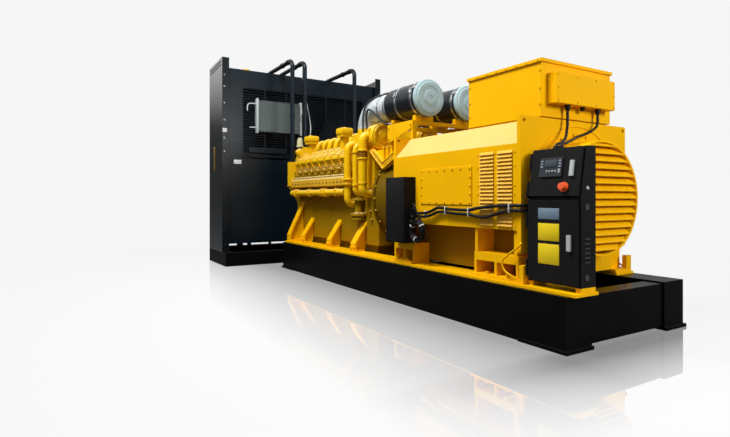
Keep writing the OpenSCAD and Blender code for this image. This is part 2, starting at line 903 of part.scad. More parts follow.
module alternator_feet()
    color("#e8ab0c")
        both_sides() {
            for (foot = [[alt_d + frame_t + fit, alt_foot_len], [frame_end_d - drive_foot_len, drive_foot_len]]) {
                block(foot[0], foot[0] + foot[1], -alt_foot_y, -stator_half - fit, deck_z, deck_z + alt_foot_plate);
                block(foot[0], foot[0] + foot[1], -alt_foot_y + alt_foot_inset, -stator_half - fit,
                    deck_z + alt_foot_h - alt_foot_beam, deck_z + alt_foot_h);
                for (share = alt_foot_web_shares)
                    block(foot[0] + share * foot[1], foot[0] + share * foot[1] + alt_foot_plate,
                        -alt_foot_y + alt_foot_inset, -stator_half - fit, deck_z + alt_foot_plate, deck_z + alt_foot_h);
            }
            block(alt_d - foot_pad_set, alt_d + frame_t + alt_foot_plate, -alt_foot_y, -stator_half - fit,
                deck_z, deck_z + alt_foot_plate);
            block(alt_d - foot_pad_set, alt_d - foot_pad_set + foot_pad_len, -alt_foot_y, -alt_foot_y + foot_pad_w,
                deck_z, deck_z + foot_pad_h);
            for (share = foot_rib_shares)
                block(alt_d + frame_t + share * alt_foot_len, alt_d + frame_t + share * alt_foot_len + foot_rib_w,
                    -alt_foot_y + alt_foot_inset, -stator_half - fit, deck_z + alt_foot_h, shaft_z - air_box_drop);
        }

// Air boxes along both sides, each with a louvre panel and a bolted cover
module air_boxes() {
    d0 = alt_d + frame_t;
    d1 = frame_end_d - frame_t;
    z0 = shaft_z - air_box_drop;
    pitch = louvre_h / side_louvre_count;
    color("#f2b30b")
        both_sides() {
            along_x(d0, d1)
                translate([0, shaft_z])
                    polygon([[-stator_half, -air_box_drop], [-alt_half, -air_box_drop],
                        [-alt_half, air_box_side - air_box_drop], [-roof_y, alt_up], [-stator_half, alt_up]]);
            for (i = [0:side_louvre_count - 1], column = [0, 1])
                translate([gx(d0 + louvre_d - frame_t + louvre_len + column * (louvre_len + louvre_gap)), 0,
                        z0 + louvre_z + i * pitch])
                    rotate([90, 0, 90])
                        linear_extrude(louvre_len)
                            polygon([[-alt_half, 0], [-alt_half - louvre_t, 0], [-alt_half, pitch * louvre_share]]);
            block(d0 + panel_d - frame_t, d0 + panel_d - frame_t + panel_len, -alt_half - panel_t, -alt_half,
                z0 + panel_z, z0 + panel_z + panel_h);
        }
}

// Round louvred cover over the alternator's end
module end_grille() {
    pitch = 2 * (grille_r - grille_wall) / grille_slats;
    front = alt_d - grille_out;
    color("#f4b711") {
        difference() {
            rod_x(front, alt_d, 0, shaft_z, grille_r);
            rod_x(front - over, alt_d - grille_wall, 0, shaft_z, grille_r - grille_wall);
        }
        intersection() {
            rod_x(front, alt_d, 0, shaft_z, grille_r - grille_wall / 2);
            for (i = [0:grille_slats - 1])
                translate([gx(front), 0, shaft_z - grille_r + grille_wall + (i + 0.5) * pitch])
                    rotate([0, slat_angle, 0])
                        translate([-slat_w, -grille_r, -slat_t / 2])
                            cube([slat_w, 2 * grille_r, slat_t]);
        }
    }
}

module terminal_box() {
    z0 = shaft_z + alt_up;
    color("#f4b70f") {
        block(alt_d + frame_t, alt_d + terminal_len, -terminal_half + lid_out, terminal_half - lid_out, z0,
            z0 + terminal_base);
        block(alt_d, alt_d + terminal_len, -terminal_half, terminal_half, z0 + terminal_base,
            z0 + terminal_base + terminal_h - lid_t);
        block(alt_d - lid_out, alt_d + terminal_len + lid_out, -terminal_half - lid_out, terminal_half + lid_out,
            z0 + terminal_base + terminal_h - lid_t, z0 + terminal_base + terminal_h);
    }
}

module connection_box() {
    top = shaft_z + alt_up + terminal_base + terminal_h - conn_drop;
    color("#f4b812")
        block(conn_d, alt_d, -conn_w / 2, conn_w / 2, top - conn_h, top);
}

// Control cabinet: a sheet shell with an upright lower front and a sloping upper front
module cabinet_outline(inset)
    polygon([[-cab_back_y - inset, cab_z + inset], [-cab_back_y - inset, cab_top - inset],
        [-cab_front_y + cab_lean + inset, cab_top - inset], [-cab_front_y + inset, cab_split],
        [-cab_front_y + inset, cab_z + inset]]);

// Frame of the upright lower front: X runs across, Y points into the cabinet, Z runs up
module on_front()
    translate([gx(cab_d), -cab_front_y, cab_z])
        children();

// Frame of the sloping upper front: X runs across, Y points into the cabinet, Z runs up the slope
module on_slope()
    translate([gx(cab_d), -cab_front_y, cab_split])
        rotate([-cab_tilt, 0, 0])
            children();

// Hinge barrels along the left edge of a door. The frame's barrels stand below the door's and
// carry a pin that the door's barrels turn on.
module frame_hinges(length)
    for (share = hinge_shares)
        translate([hinge_x, -door_gap - door_t, share * length - hinge_len]) {
            cylinder(h = hinge_len - fit, r = hinge_r);
            cylinder(h = 2 * hinge_len - fit, r = hinge_pin_r);
            translate([-hinge_x, 0, 0])
                cube([hinge_leaf, door_gap + door_t, hinge_len - fit]);
        }

module door_hinges(length)
    for (share = hinge_shares)
        translate([hinge_x, -door_gap - door_t, share * length])
            difference() {
                union() {
                    cylinder(h = hinge_len, r = hinge_r);
                    cube([door_side, hinge_leaf, hinge_len]);
                }
                translate([0, 0, -over])
                    cylinder(h = hinge_len + 2 * over, r = hinge_pin_r + fit);
            }

module cabinet_shell()
    color("#202123") {
        difference() {
            along_x(cab_d - cab_w, cab_d)
                cabinet_outline(0);
            along_x(cab_d - cab_w + cab_sheet, cab_d - cab_sheet)
                cabinet_outline(cab_sheet);
            on_front()
                translate([cab_lip, -over, cab_lip])
                    cube([cab_w - 2 * cab_lip, 2 * over, cab_low_h - 2 * cab_lip]);
            on_slope()
                translate([cab_lip, -over, cab_lip])
                    cube([cab_w - 2 * cab_lip, 2 * over, cab_slant - 2 * cab_lip]);
        }
        block(cab_d - cab_w + cab_sheet, cab_d - cab_sheet, -cab_front_y + cab_sheet, -cab_back_y - cab_sheet,
            cab_split - cab_sheet, cab_split);
        on_front()
            frame_hinges(cab_low_h);
        on_slope()
            frame_hinges(cab_slant);
    }

module cabinet_stand()
    color("#f0b20c")
        for (d = [cab_d - cab_w, cab_d - stand_w])
            block(d, d + stand_w, -cab_front_y, -cab_back_y, deck_z, cab_z);

module door(height) {
    translate([door_side, -door_gap - door_t, door_side])
        cube([cab_w - 2 * door_side, door_t, height - 2 * door_side]);
    door_hinges(height);
}

module lower_door()
    color("#232426")
        on_front()
            door(cab_low_h);

module upper_door()
    color("#232426")
        on_slope()
            door(cab_slant);

module on_upper_door(x_share, z_share)
    on_slope()
        translate([x_share * cab_w, -door_gap - door_t, z_share * cab_slant])
            children();

module controller()
    color("#5b6068")
        on_upper_door(controller_x_share, controller_z_share)
            translate([-controller_w / 2, -controller_t, -controller_h / 2])
                cube([controller_w, controller_t, controller_h]);

module stop_button()
    on_upper_door(stop_x_share, stop_z_share)
        rotate([90, 0, 0])
            color("#d8342a") {
                cylinder(h = stop_ring_t, r = stop_r);
                cylinder(h = stop_ring_t + stop_neck_h, r = stop_neck_r);
                translate([0, 0, stop_ring_t + stop_neck_h])
                    cylinder(h = stop_head_h, r = stop_head_r);
            }

module upper_handle()
    color("#c8cbcc")
        on_upper_door(handle_x_share, up_handle_z_share)
            translate([-handle_w / 2, -handle_t, -handle_len / 2])
                cube([handle_w, handle_t, handle_len]);

module lower_handle()
    color("#c8cbcc")
        on_front()
            translate([handle_x_share * cab_w - handle_w / 2, -door_gap - door_t - handle_t,
                low_handle_z_share * cab_low_h - handle_len / 2])
                cube([handle_w, handle_t, handle_len]);

// Junction box on the side of the air box, and the leads it sends to the cabinet
module junction_box()
    color("#18191b")
        block(jbox_d, jbox_d + jbox_len, -alt_half - jbox_depth, -alt_half, jbox_z, jbox_z + jbox_h);

module harness()
    color("#131416") {
        lead(lead_route, lead_r, [0, 0, 1]);
        lead(low_lead_route, lead_r, [0, 0, 1]);
    }

module harness_coil()
    color("#131416")
        translate([gx(jbox_d - coil_r - coil_band - fit), -alt_half - jbox_depth / 2, coil_z])
            rotate([90, 0, 0])
                rotate_extrude()
                    translate([coil_r, 0])
                        circle(r = coil_band);

module cabinet_cables()
    color("#131416")
        for (route = cable_routes)
            lead(route, cable_r, [1, 0, 0]);

// Radiator
module radiator_plinth() {
    d0 = rad_d - plinth_out;
    top = plinth_h - plinth_gap;
    sill_y = rad_w / 2 - side_flange - sill_clear;
    color("#17181a") {
        difference() {
            block(d0, rad_back_d, -rad_w / 2, rad_w / 2, 0, top);
            block(d0 + plinth_beam, rad_back_d - plinth_beam, -rad_w / 2 + plinth_beam, rad_w / 2 - plinth_beam,
                -over, plinth_h + over);
        }
        block(rad_back_d - plinth_beam, rad_back_d, -sill_y, sill_y, top, top + sill_h);
        both_sides()
            for (i = [0:len(post_ys) - 1])
                block(rad_back_d - plinth_beam, rad_back_d - plinth_beam + post_t, -post_ys[i] - post_ws[i] / 2,
                    -post_ys[i] + post_ws[i] / 2, top, panel_low);
    }
}

module radiator_sides() {
    y = rad_w / 2;
    low = plinth_h - plinth_gap;
    top = plinth_h + rad_h;
    color("#2b3136")
        both_sides() {
            along_y(-y, -y + side_t)
                polygon([[gx(rad_d), low], [gx(rad_d), top + side_rises[0]],
                    [gx(rad_back_d), top + side_rises[1]], [gx(rad_back_d), low]]);
            block(rad_d, rad_d + side_t, -y, -y + side_flange, low, top + side_rises[0]);
            block(rad_back_d - side_t, rad_back_d, -y, -y + side_flange, low, top);
        }
}

module radiator_core()
    color("#3a3f44")
        block(core_d, core_d + core_t, -rad_w / 2 + side_t, rad_w / 2 - side_t, panel_low + tank_h, tank_top - tank_h);

module radiator_tanks()
    color("#2a2f34") {
        block(core_d - tank_lap, core_d + core_t + tank_lap, -rad_w / 2 + side_t, rad_w / 2 - side_t,
            panel_low, panel_low + tank_h);
        block(core_d - tank_lap, core_d + core_t + tank_lap, -rad_w / 2 + side_t, rad_w / 2 - side_t,
            tank_top - tank_h, tank_top);
        block(rad_d + guard_d, core_d - tank_lap, -rad_w / 2 + side_t, rad_w / 2 - side_t, tank_top - panel_sheet,
            tank_top);
    }

module fan_shroud() {
    d0 = rad_d + guard_d;
    wide = opening_half + shroud_t;
    color("#25292d")
        difference() {
            block(d0, core_d, -wide, wide, opening_low - shroud_t, opening_top + shroud_t);
            block(d0 - over, core_d + over, -opening_half, opening_half, opening_low, opening_top);
        }
}

module fan_guard() {
    y = rad_w / 2 - side_t;
    d0 = rad_d + guard_d - panel_sheet;
    pitch = (opening_top - guard_low) / guard_bars;
    color("#23282c") {
        difference() {
            block(d0, d0 + panel_sheet, -y, y, panel_low, plinth_h + rad_h - panel_drop);
            block(d0 - over, d0 + panel_sheet + over, -opening_half, opening_half, guard_low, opening_top);
        }
        for (i = [0:guard_bars - 1])
            block(d0 - guard_bar, d0, -opening_half - guard_bar, opening_half + guard_bar,
                guard_low + (i + 0.5) * pitch, guard_low + (i + 0.5) * pitch + guard_bar);
        for (i = [0:guard_posts])
            block(d0, d0 + panel_sheet, -opening_half + i * 2 * opening_half / guard_posts - guard_post / 2,
                -opening_half + i * 2 * opening_half / guard_posts + guard_post / 2, guard_low - guard_bar,
                opening_top + guard_bar);
        for (i = [0:len(rail_bar_zs) - 1])
            block(d0 - 2 * guard_bar, d0, -rail_bar_y, -rail_bar_y + rail_bar_len, rail_bar_zs[i],
                rail_bar_zs[i] + rail_bar_hs[i]);
    }
}

module fan_beam()
    color("#222629")
        difference() {
            union() {
                block(rad_d + guard_d + guard_post, rad_d + guard_d + guard_post + beam_t, -opening_half + fit,
                    opening_half - fit, fan_z - beam_h / 2, fan_z + beam_h / 2);
                rod_x(rad_d + guard_d + guard_post, rad_d + guard_d + guard_post + bearing_l, 0, fan_z, bearing_r);
            }
            rod_x(rad_d, rad_d + rad_depth, 0, fan_z, shaft_r + fit);
        }

module radiator_fan() {
    d0 = rad_d + fan_d;
    color("#31353a") {
        rod_x(d0, d0 + fan_hub_l, 0, fan_z, fan_hub_r);
        rod_x(rad_d + guard_d + guard_post + over, d0, 0, fan_z, shaft_r);
        translate([gx(d0 + fan_hub_l / 2), 0, fan_z])
            for (i = [0:fan_blades - 1])
                rotate([i * 360 / fan_blades + blade_phase, 0, 0])
                    translate([0, 0, fan_root_r])
                        rotate([0, 0, blade_pitch])
                            translate([-blade_t / 2, -blade_chord / 2, 0])
                                cube([blade_t, blade_chord, fan_r - fan_root_r]);
    }
}

// Silver oil cooler hung on the front of the guard
module oil_cooler() {
    d1 = rad_d + guard_d - panel_sheet - guard_bar;
    d0 = d1 - oil_bracket - oil_t;
    color("#b9bdbd") {
        block(d0, d0 + oil_t, -oil_y, -oil_y + oil_w, oil_z, oil_z + oil_h);
        for (y = [-oil_y, -oil_y + oil_w - oil_frame])
            block(d0 - oil_frame / 3, d1, y, y + oil_frame, oil_z - oil_frame, oil_z + oil_h + oil_frame);
    }
}

// Coolant and vent pipes: down to the front of the engine and back to the top tank
module coolant_pipe(y, low) {
    d = front_d + front_t / 2;
    z = shaft_z + pipe_up;
    back = rad_d + pipe_drop_d;
    rod_z(d, y, low, z - pipe_bend, pipe_r);
    rod_z(d, y, low, low + pipe_flange_t, pipe_flange_r);
    bend_at(d, y, z - pipe_bend, [0, 0, 1], [-1, 0, 0], pipe_r, pipe_bend);
    rod_x(d + pipe_bend, back - pipe_bend, y, z, pipe_r);
    bend_at(back - pipe_bend, y, z, [-1, 0, 0], [0, 0, -1], pipe_r, pipe_bend);
    rod_z(back, y, tank_top, z - pipe_bend, pipe_r);
    rod_z(back, y, tank_top, tank_top + pipe_flange_t, pipe_flange_r);
}

module coolant_pipes()
    color("#23272b") {
        coolant_pipe(-pipe_y, shaft_z + front_shoulder);
        coolant_pipe(pipe_y, shaft_z + front_shoulder);
        coolant_pipe(-vent_y, shaft_z + front_top);
    }

// Filler cap on the top tank
module radiator_fittings()
    color("#e0b030")
        rod_z(rad_d + pipe_drop_d, -filler_y, tank_top, tank_top + filler_h, filler_r);

base_rails();
base_cross_beams();
deck_plates();
crankcase();
engine_feet();
front_cover();
crank_damper();
flywheel_housing();
cylinder_heads();
valve_covers();
side_ledges();
water_manifolds();
exhaust_manifold();
breather_caps();
riser_pipes();
charge_cooler();
turbo_housings();
air_cleaners();
air_cleaner_caps();
intake_ducts();
air_cleaner_frame();
alternator_body();
alternator_end_frame();
alternator_drive_frame();
alternator_feet();
air_boxes();
end_grille();
terminal_box();
connection_box();
cabinet_shell();
cabinet_stand();
upper_door();
lower_door();
controller();
stop_button();
upper_handle();
lower_handle();
junction_box();
harness();
harness_coil();
cabinet_cables();
radiator_plinth();
radiator_sides();
radiator_core();
radiator_tanks();
fan_shroud();
fan_guard();
fan_beam();
radiator_fan();
oil_cooler();
coolant_pipes();
radiator_fittings();
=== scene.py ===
from math import cos, pi, radians, sin

import bmesh
import bpy
from mathutils import Matrix, Vector


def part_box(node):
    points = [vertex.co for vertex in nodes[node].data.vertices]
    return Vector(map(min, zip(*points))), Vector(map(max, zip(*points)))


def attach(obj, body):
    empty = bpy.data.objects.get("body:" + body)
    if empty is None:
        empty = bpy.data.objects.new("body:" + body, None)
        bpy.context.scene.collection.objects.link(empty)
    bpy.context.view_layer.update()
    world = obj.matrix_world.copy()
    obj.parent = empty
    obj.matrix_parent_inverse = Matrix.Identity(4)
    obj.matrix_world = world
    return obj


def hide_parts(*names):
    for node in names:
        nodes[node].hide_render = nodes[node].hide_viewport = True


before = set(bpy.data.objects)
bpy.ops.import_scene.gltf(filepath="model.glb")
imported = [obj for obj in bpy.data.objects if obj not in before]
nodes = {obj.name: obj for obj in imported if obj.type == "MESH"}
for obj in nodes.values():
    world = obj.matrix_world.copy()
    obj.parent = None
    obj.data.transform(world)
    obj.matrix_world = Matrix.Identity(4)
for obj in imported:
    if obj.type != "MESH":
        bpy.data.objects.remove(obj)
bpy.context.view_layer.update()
scene = bpy.context.scene
scene.view_settings.view_transform = "Standard"


# Viewpoint of the photograph: a wide lens held level, just above the top of the cabinet's lower door,
# off the generator end and to the left-hand side of the set.
lens = bpy.data.cameras.new("viewpoint")
lens.sensor_width = 36.0
lens.lens = 24.71
lens.shift_y = -0.0277
viewpoint = bpy.data.objects.new("viewpoint", lens)
viewpoint.location = (5.383, -3.626, 1.05)
viewpoint.rotation_euler = (radians(90), 0, radians(58.8))
scene.collection.objects.link(viewpoint)
scene.camera = viewpoint


# Studio floor and light: a white surround over a polished floor that mirrors the set close to it. One wide lamp
# hangs high over the near side, a weaker one stands off the generator end, and the soft light from above
# leaves undersides dark.
class Shade:
    """A shader socket: sums of sockets add Math nodes, and node() adds any other node."""

    def __init__(self, tree, socket=None):
        self.tree, self.socket = tree, socket

    def node(self, kind, settings=None, inputs=None, out=0):
        made = self.tree.nodes.new(kind)
        for key, value in (settings or {}).items():
            setattr(made, key, value)
        for key, value in (inputs or {}).items():
            if isinstance(value, Shade):
                self.tree.links.new(value.socket, made.inputs[key])
            else:
                made.inputs[key].default_value = value
        return Shade(self.tree, made.outputs[out] if made.outputs else None)

    def sum(self, operation, a, b):
        return self.node("ShaderNodeMath", {"operation": operation}, {0: a, 1: b})

    def __add__(self, other):
        return self.sum("ADD", self, other)

    def __mul__(self, other):
        return self.sum("MULTIPLY", self, other)

    __radd__ = __add__
    __rmul__ = __mul__


def colour(code):
    """A colour as a painter's hex code, in linear light."""
    parts = [int(code[i:i + 2], 16) / 255 for i in (0, 2, 4)]
    return tuple(c / 12.92 if c < 0.04045 else ((c + 0.055) / 1.055) ** 2.4 for c in parts)


floor_white = colour("f6f6f6")
floor_half = 60.0
bm = bmesh.new()
bmesh.ops.create_grid(bm, x_segments=1, y_segments=1, size=floor_half)
floor_mesh = bpy.data.meshes.new("floor")
bm.to_mesh(floor_mesh)
bm.free()
floor = bpy.data.objects.new("floor", floor_mesh)
scene.collection.objects.link(floor)
polish = bpy.data.materials.new("floor_polish")
polish.use_nodes = True
tree = polish.node_tree
tree.nodes.clear()
start = Shade(tree)
seen = start.node("ShaderNodeLightPath", out=0)
spot = start.node("ShaderNodeSeparateXYZ", None, {0: start.node("ShaderNodeTexCoord", out=3)})
along_set = start.node("ShaderNodeMath", {"operation": "ABSOLUTE"}, {0: spot})
across_set = start.node("ShaderNodeMath", {"operation": "ABSOLUTE"}, {0: Shade(tree, spot.socket.node.outputs[1])})
beside = start.node("ShaderNodeMapRange", None, {0: across_set, 1: 0.85, 2: 2.35, 3: 1.0, 4: 0.0})
beyond = start.node("ShaderNodeMapRange", None, {0: along_set, 1: 3.2, 2: 4.12, 3: 1.0, 4: 0.0})
off_end = start.node("ShaderNodeMapRange", None, {0: spot, 1: 3.1, 2: 3.35, 3: 0.60, 4: 0.86})
shade_y = start.node("ShaderNodeMapRange", None, {0: across_set, 1: 1.0, 2: 5.0, 3: 0.15, 4: 0.0})
shade_x = start.node("ShaderNodeMapRange", None, {0: along_set, 1: 3.3, 2: 7.3, 3: 1.0, 4: 0.0})
glow = start.node("ShaderNodeEmission", None, {"Color": (*floor_white, 1), "Strength": 1.0})
matt = start.node("ShaderNodeBsdfDiffuse", None, {"Color": (0.8, 0.8, 0.8, 1)})
dark = start.node("ShaderNodeBsdfDiffuse", None, {"Color": (0.12, 0.12, 0.12, 1)})
mirror = start.node("ShaderNodeBsdfAnisotropic", None, {"Color": (1, 1, 1, 1), "Roughness": 0.0})
lit = start.node("ShaderNodeMixShader", None, {0: shade_y * shade_x, 1: glow, 2: matt})
glossed = start.node("ShaderNodeMixShader", None, {0: beside * beyond * off_end, 1: lit, 2: mirror})
both = start.node("ShaderNodeMixShader", None, {0: seen, 1: dark, 2: glossed})
start.node("ShaderNodeOutputMaterial", None, {"Surface": both})
floor_mesh.materials.append(polish)

surround = bpy.data.worlds.new("surround")
surround.use_nodes = True
scene.world = surround
tree = surround.node_tree
tree.nodes.clear()
start = Shade(tree)
direct = start.node("ShaderNodeLightPath", out=0)
glossy = Shade(tree, direct.socket.node.outputs["Is Glossy Ray"])
through = Shade(tree, direct.socket.node.outputs["Is Transmission Ray"])
mirrored = Shade(tree, direct.socket.node.outputs["Is Singular Ray"])
height = start.node("ShaderNodeSeparateXYZ", None, {0: start.node("ShaderNodeTexCoord", out=0)}, out=2)
above = start.node("ShaderNodeMapRange", None, {0: height, 1: -0.05, 2: 1.0, 3: 0.05, 4: 0.75})
bright = start.node("ShaderNodeMapRange", None, {0: height, 1: 0.14, 2: 0.24, 3: 0.05, 4: 1.0})
white = start.node("ShaderNodeBackground", None, {"Color": (*floor_white, 1), "Strength": 1.0})
upper = start.node("ShaderNodeBackground", None, {"Color": (*floor_white, 1), "Strength": bright})
dim = start.node("ShaderNodeBackground", None, {"Color": (0.94, 0.97, 1.0, 1), "Strength": above})
sky = start.node("ShaderNodeMixShader", None, {0: glossy, 1: dim, 2: upper})
sky = start.node("ShaderNodeMixShader", None, {0: direct + through + mirrored, 1: sky, 2: white})
start.node("ShaderNodeOutputWorld", None, {"Surface": sky})


def lamp(name, place, target, size, power):
    """A round area lamp at a place, turned to its target."""
    light = bpy.data.lights.new(name, "AREA")
    light.shape, light.size, light.energy = "DISK", size, power
    obj = bpy.data.objects.new(name, light)
    obj.location = place
    obj.rotation_euler = (Vector(target) - Vector(place)).to_track_quat("-Z", "Y").to_euler()
    scene.collection.objects.link(obj)


lamp("main_lamp", (1.2, -3.9, 7.2), (0.8, -0.5, 1.0), 3.0, 720)
lamp("end_lamp", (7.5, 0.6, 3.2), (2.8, 0.0, 1.2), 2.0, 200)


# Base: two long welded steel rails joined by cross beams, with foot lips at the ends and a plinth of the same steel
# under the radiator, all sprayed gloss black. Narrow deck plates, painted yellow, are welded on top of the rails.
def paint(name, shade, roughness, tone=0.06, peel=0.25, top_highlight=0.0, soften=0.004, shine=0.4, coat=0.0):
    """Sprayed paint: slow tone changes, fine orange peel, a pale painted highlight on the faces that look up,
    softened edges, and where there is a coat, lacquer on the faces that look to the sides."""
    made = bpy.data.materials.new(name)
    made.use_nodes = True
    tree = made.node_tree
    tree.nodes.clear()
    start = Shade(tree)
    place = start.node("ShaderNodeTexCoord", out=3)
    slow = start.node("ShaderNodeTexNoise", None, {"Vector": place, "Scale": 2.2, "Detail": 4.0})
    fine = start.node("ShaderNodeTexNoise", None, {"Vector": place, "Scale": 260.0, "Detail": 2.0})
    smear = start.node("ShaderNodeTexNoise", None, {"Vector": place, "Scale": 17.0, "Detail": 5.0})
    deep = tuple(c * (1 - tone * 2.2) for c in shade)
    pale = tuple(min(1, c * (1 + tone)) for c in shade)
    body = start.node("ShaderNodeMix", {"data_type": "RGBA"}, {0: slow, 6: (*deep, 1), 7: (*pale, 1)}, out=2)
    normal = start.node("ShaderNodeNewGeometry", out=1)
    facing = start.node("ShaderNodeSeparateXYZ", None, {0: normal}, out=2)
    # Faces that look up are mixed towards a pale cream with some noise: a painted highlight for the light on top faces.
    painted_highlight_mask = start.node("ShaderNodeMapRange", None, {0: facing, 1: 0.35, 2: 0.85, 3: 0.0, 4: top_highlight}) * (smear * 0.5 + 0.75)
    highlight_tone = (0.56, 0.46, 0.23, 1)
    body = start.node("ShaderNodeMix", {"data_type": "RGBA"}, {0: painted_highlight_mask, 6: body, 7: highlight_tone}, out=2)
    edge = start.node("ShaderNodeBevel", {"samples": 4}, {"Radius": soften})
    bump = start.node("ShaderNodeBump", None, {"Strength": peel, "Distance": 0.0006, "Height": fine, "Normal": edge})
    lacquer = 0.0
    if coat:
        aside = start.node("ShaderNodeSeparateXYZ", None, {0: normal}, out=1)
        lacquer = aside * aside * coat
    skin = start.node("ShaderNodeBsdfPrincipled", None, {
        "Base Color": body, "Roughness": smear * 0.16 + (roughness - 0.08), "Normal": bump,
        "Specular IOR Level": shine, "Coat Weight": lacquer, "Coat IOR": 1.9, "Coat Roughness": 0.15})
    start.node("ShaderNodeOutputMaterial", None, {"Surface": skin})
    return made


def cover(material, *names):
    """Gives CAD nodes their finish."""
    for name in names:
        mesh = nodes[name].data
        mesh.materials.clear()
        mesh.materials.append(material)


rail_black = paint("rail_black", colour("0c0c0d"), 0.30, tone=0.2, top_highlight=0.01, shine=0.06)
set_yellow = paint("set_yellow", colour("f4b606"), 0.28, shine=0.08)
cover(rail_black, "base_rails", "base_cross_beams", "radiator_plinth")
cover(set_yellow, "deck_plates")


# Holding-down bolts: hexagon bolts hold the alternator's foot plates down to the deck, and pairs of them go sideways
# through the toe of each engine foot. Places along the set are measured from the generator end of the rails.
def piece(name, bm, material, body="set"):
    """Makes a bmesh a named piece that rides on a body, with its edges sharp where faces meet at over 35 degrees."""
    bmesh.ops.remove_doubles(bm, verts=bm.verts, dist=0.00001)
    bmesh.ops.recalc_face_normals(bm, faces=bm.faces)
    for face in bm.faces:
        face.smooth = True
    mesh = bpy.data.meshes.new(name)
    bm.to_mesh(mesh)
    bm.free()
    mesh.set_sharp_from_angle(angle=radians(35))
    mesh.materials.append(material)
    obj = bpy.data.objects.new(name, mesh)
    scene.collection.objects.link(obj)
    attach(obj, body)
    return obj


def along(axis, point):
    """Turns +Z to an axis and moves to a point."""
    return Matrix.Translation(point) @ Vector(axis).to_track_quat("Z", "Y").to_matrix().to_4x4()


def bolt(bm, point, axis, across, height):
    """A hexagon bolt head on its washer."""
    seat = along(axis, point)
    washer = height * 0.2
    for sides, radius, low, high in ((12, across * 0.72, 0, washer), (6, across * 0.56, washer, height)):
        bmesh.ops.create_cone(bm, cap_ends=True, segments=sides, radius1=radius, radius2=radius * 0.96,
                              depth=high - low, matrix=seat @ Matrix.Translation((0, 0, (low + high) / 2)))


end_x = 3.215
deck_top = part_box("deck_plates")[1][2]
foot_plate = 0.025
foot_bolt_y, toe_y = 0.655, 0.62
toe_bolt_rise, toe_bolt_half = 0.05, 0.03
bm = bmesh.new()
for side in (-1, 1):
    for x in (2.62, 2.40, 1.30, 1.14):
        bolt(bm, (x, side * foot_bolt_y, deck_top + foot_plate), (0, 0, 1), 0.034, 0.022)
    for d in (3.08, 3.7208, 4.5572):
        for dx in (-toe_bolt_half, toe_bolt_half):
            bolt(bm, (end_x - d + dx, side * toe_y, deck_top + toe_bolt_rise), (0, side, 0), 0.028, 0.018)
piece("holding_bolts", bm, set_yellow)


# Engine: a cast V block with one head and one cover to each cylinder, pipes and feet bolted on.
# The whole engine was sprayed yellow after it was put together, bolts and all.
# Copies of the one engine yellow stand in for light: the crankcase's is darker as painted shade, the flywheel housing's
# darker still, the ledge's darker with a full painted highlight on its upward faces, and the upper parts' carries a
# painted highlight on their tops.
shaded_yellow = paint("shaded_yellow", colour("957208"), 0.34, tone=0.12, top_highlight=0.4, shine=0.06)
deep_shade_yellow = paint("deep_shade_yellow", colour("6c5206"), 0.34, tone=0.12, shine=0.06)
ledge_shade_highlight_yellow = paint("ledge_shade_highlight_yellow", colour("e0aa2a"), 0.34, tone=0.12, top_highlight=1.0, shine=0.06)
upper_highlit_yellow = paint("upper_highlit_yellow", colour("eebb10"), 0.26, top_highlight=0.5, shine=0.10)
cover(shaded_yellow, "crankcase")
cover(deep_shade_yellow, "flywheel_housing")
cover(ledge_shade_highlight_yellow, "side_ledges")
cover(set_yellow, "engine_feet", "charge_cooler", "air_cleaner_frame")
cover(upper_highlit_yellow, "front_cover", "cylinder_heads", "water_manifolds", "exhaust_manifold", "breather_caps",
      "riser_pipes", "turbo_housings", "valve_covers")
damper_black = paint("damper_black", colour("1d1d1f"), 0.5, tone=0.2)
cover(damper_black, "crank_damper")


# Valve covers and heads: each cast cover is clamped by a row of bolts; below it the head has a ringed port and plugs.
# Eight of them stand on each leaning bank with a deep gap between neighbours.
def bar(bm, low, high, edge, place=Matrix()):
    """A block with rounded edges between two corners."""
    middle = [(a + b) / 2 for a, b in zip(low, high)]
    size = [b - a for a, b in zip(low, high)]
    block = place @ Matrix.Translation(middle) @ Matrix.Diagonal((*size, 1))
    made = bmesh.ops.create_cube(bm, size=1.0, matrix=block)
    edges = list({e for v in made["verts"] for e in v.link_edges})
    bmesh.ops.bevel(bm, geom=edges, offset=edge, segments=2, profile=0.5, affect="EDGES", material=-1)


def lathe(bm, profile, point, axis, steps=36):
    """A turned ring or cap: (radius, height) pairs spun round an axis through a point."""
    seat = along(axis, point)
    verts = [bm.verts.new(seat @ Vector((r, 0, h))) for r, h in profile]
    edges = [bm.edges.new(pair) for pair in zip(verts, verts[1:])]
    bmesh.ops.spin(bm, geom=verts + edges, cent=point, axis=seat.to_3x3() @ Vector((0, 0, 1)), angle=2 * pi,
                   steps=steps, use_merge=True)


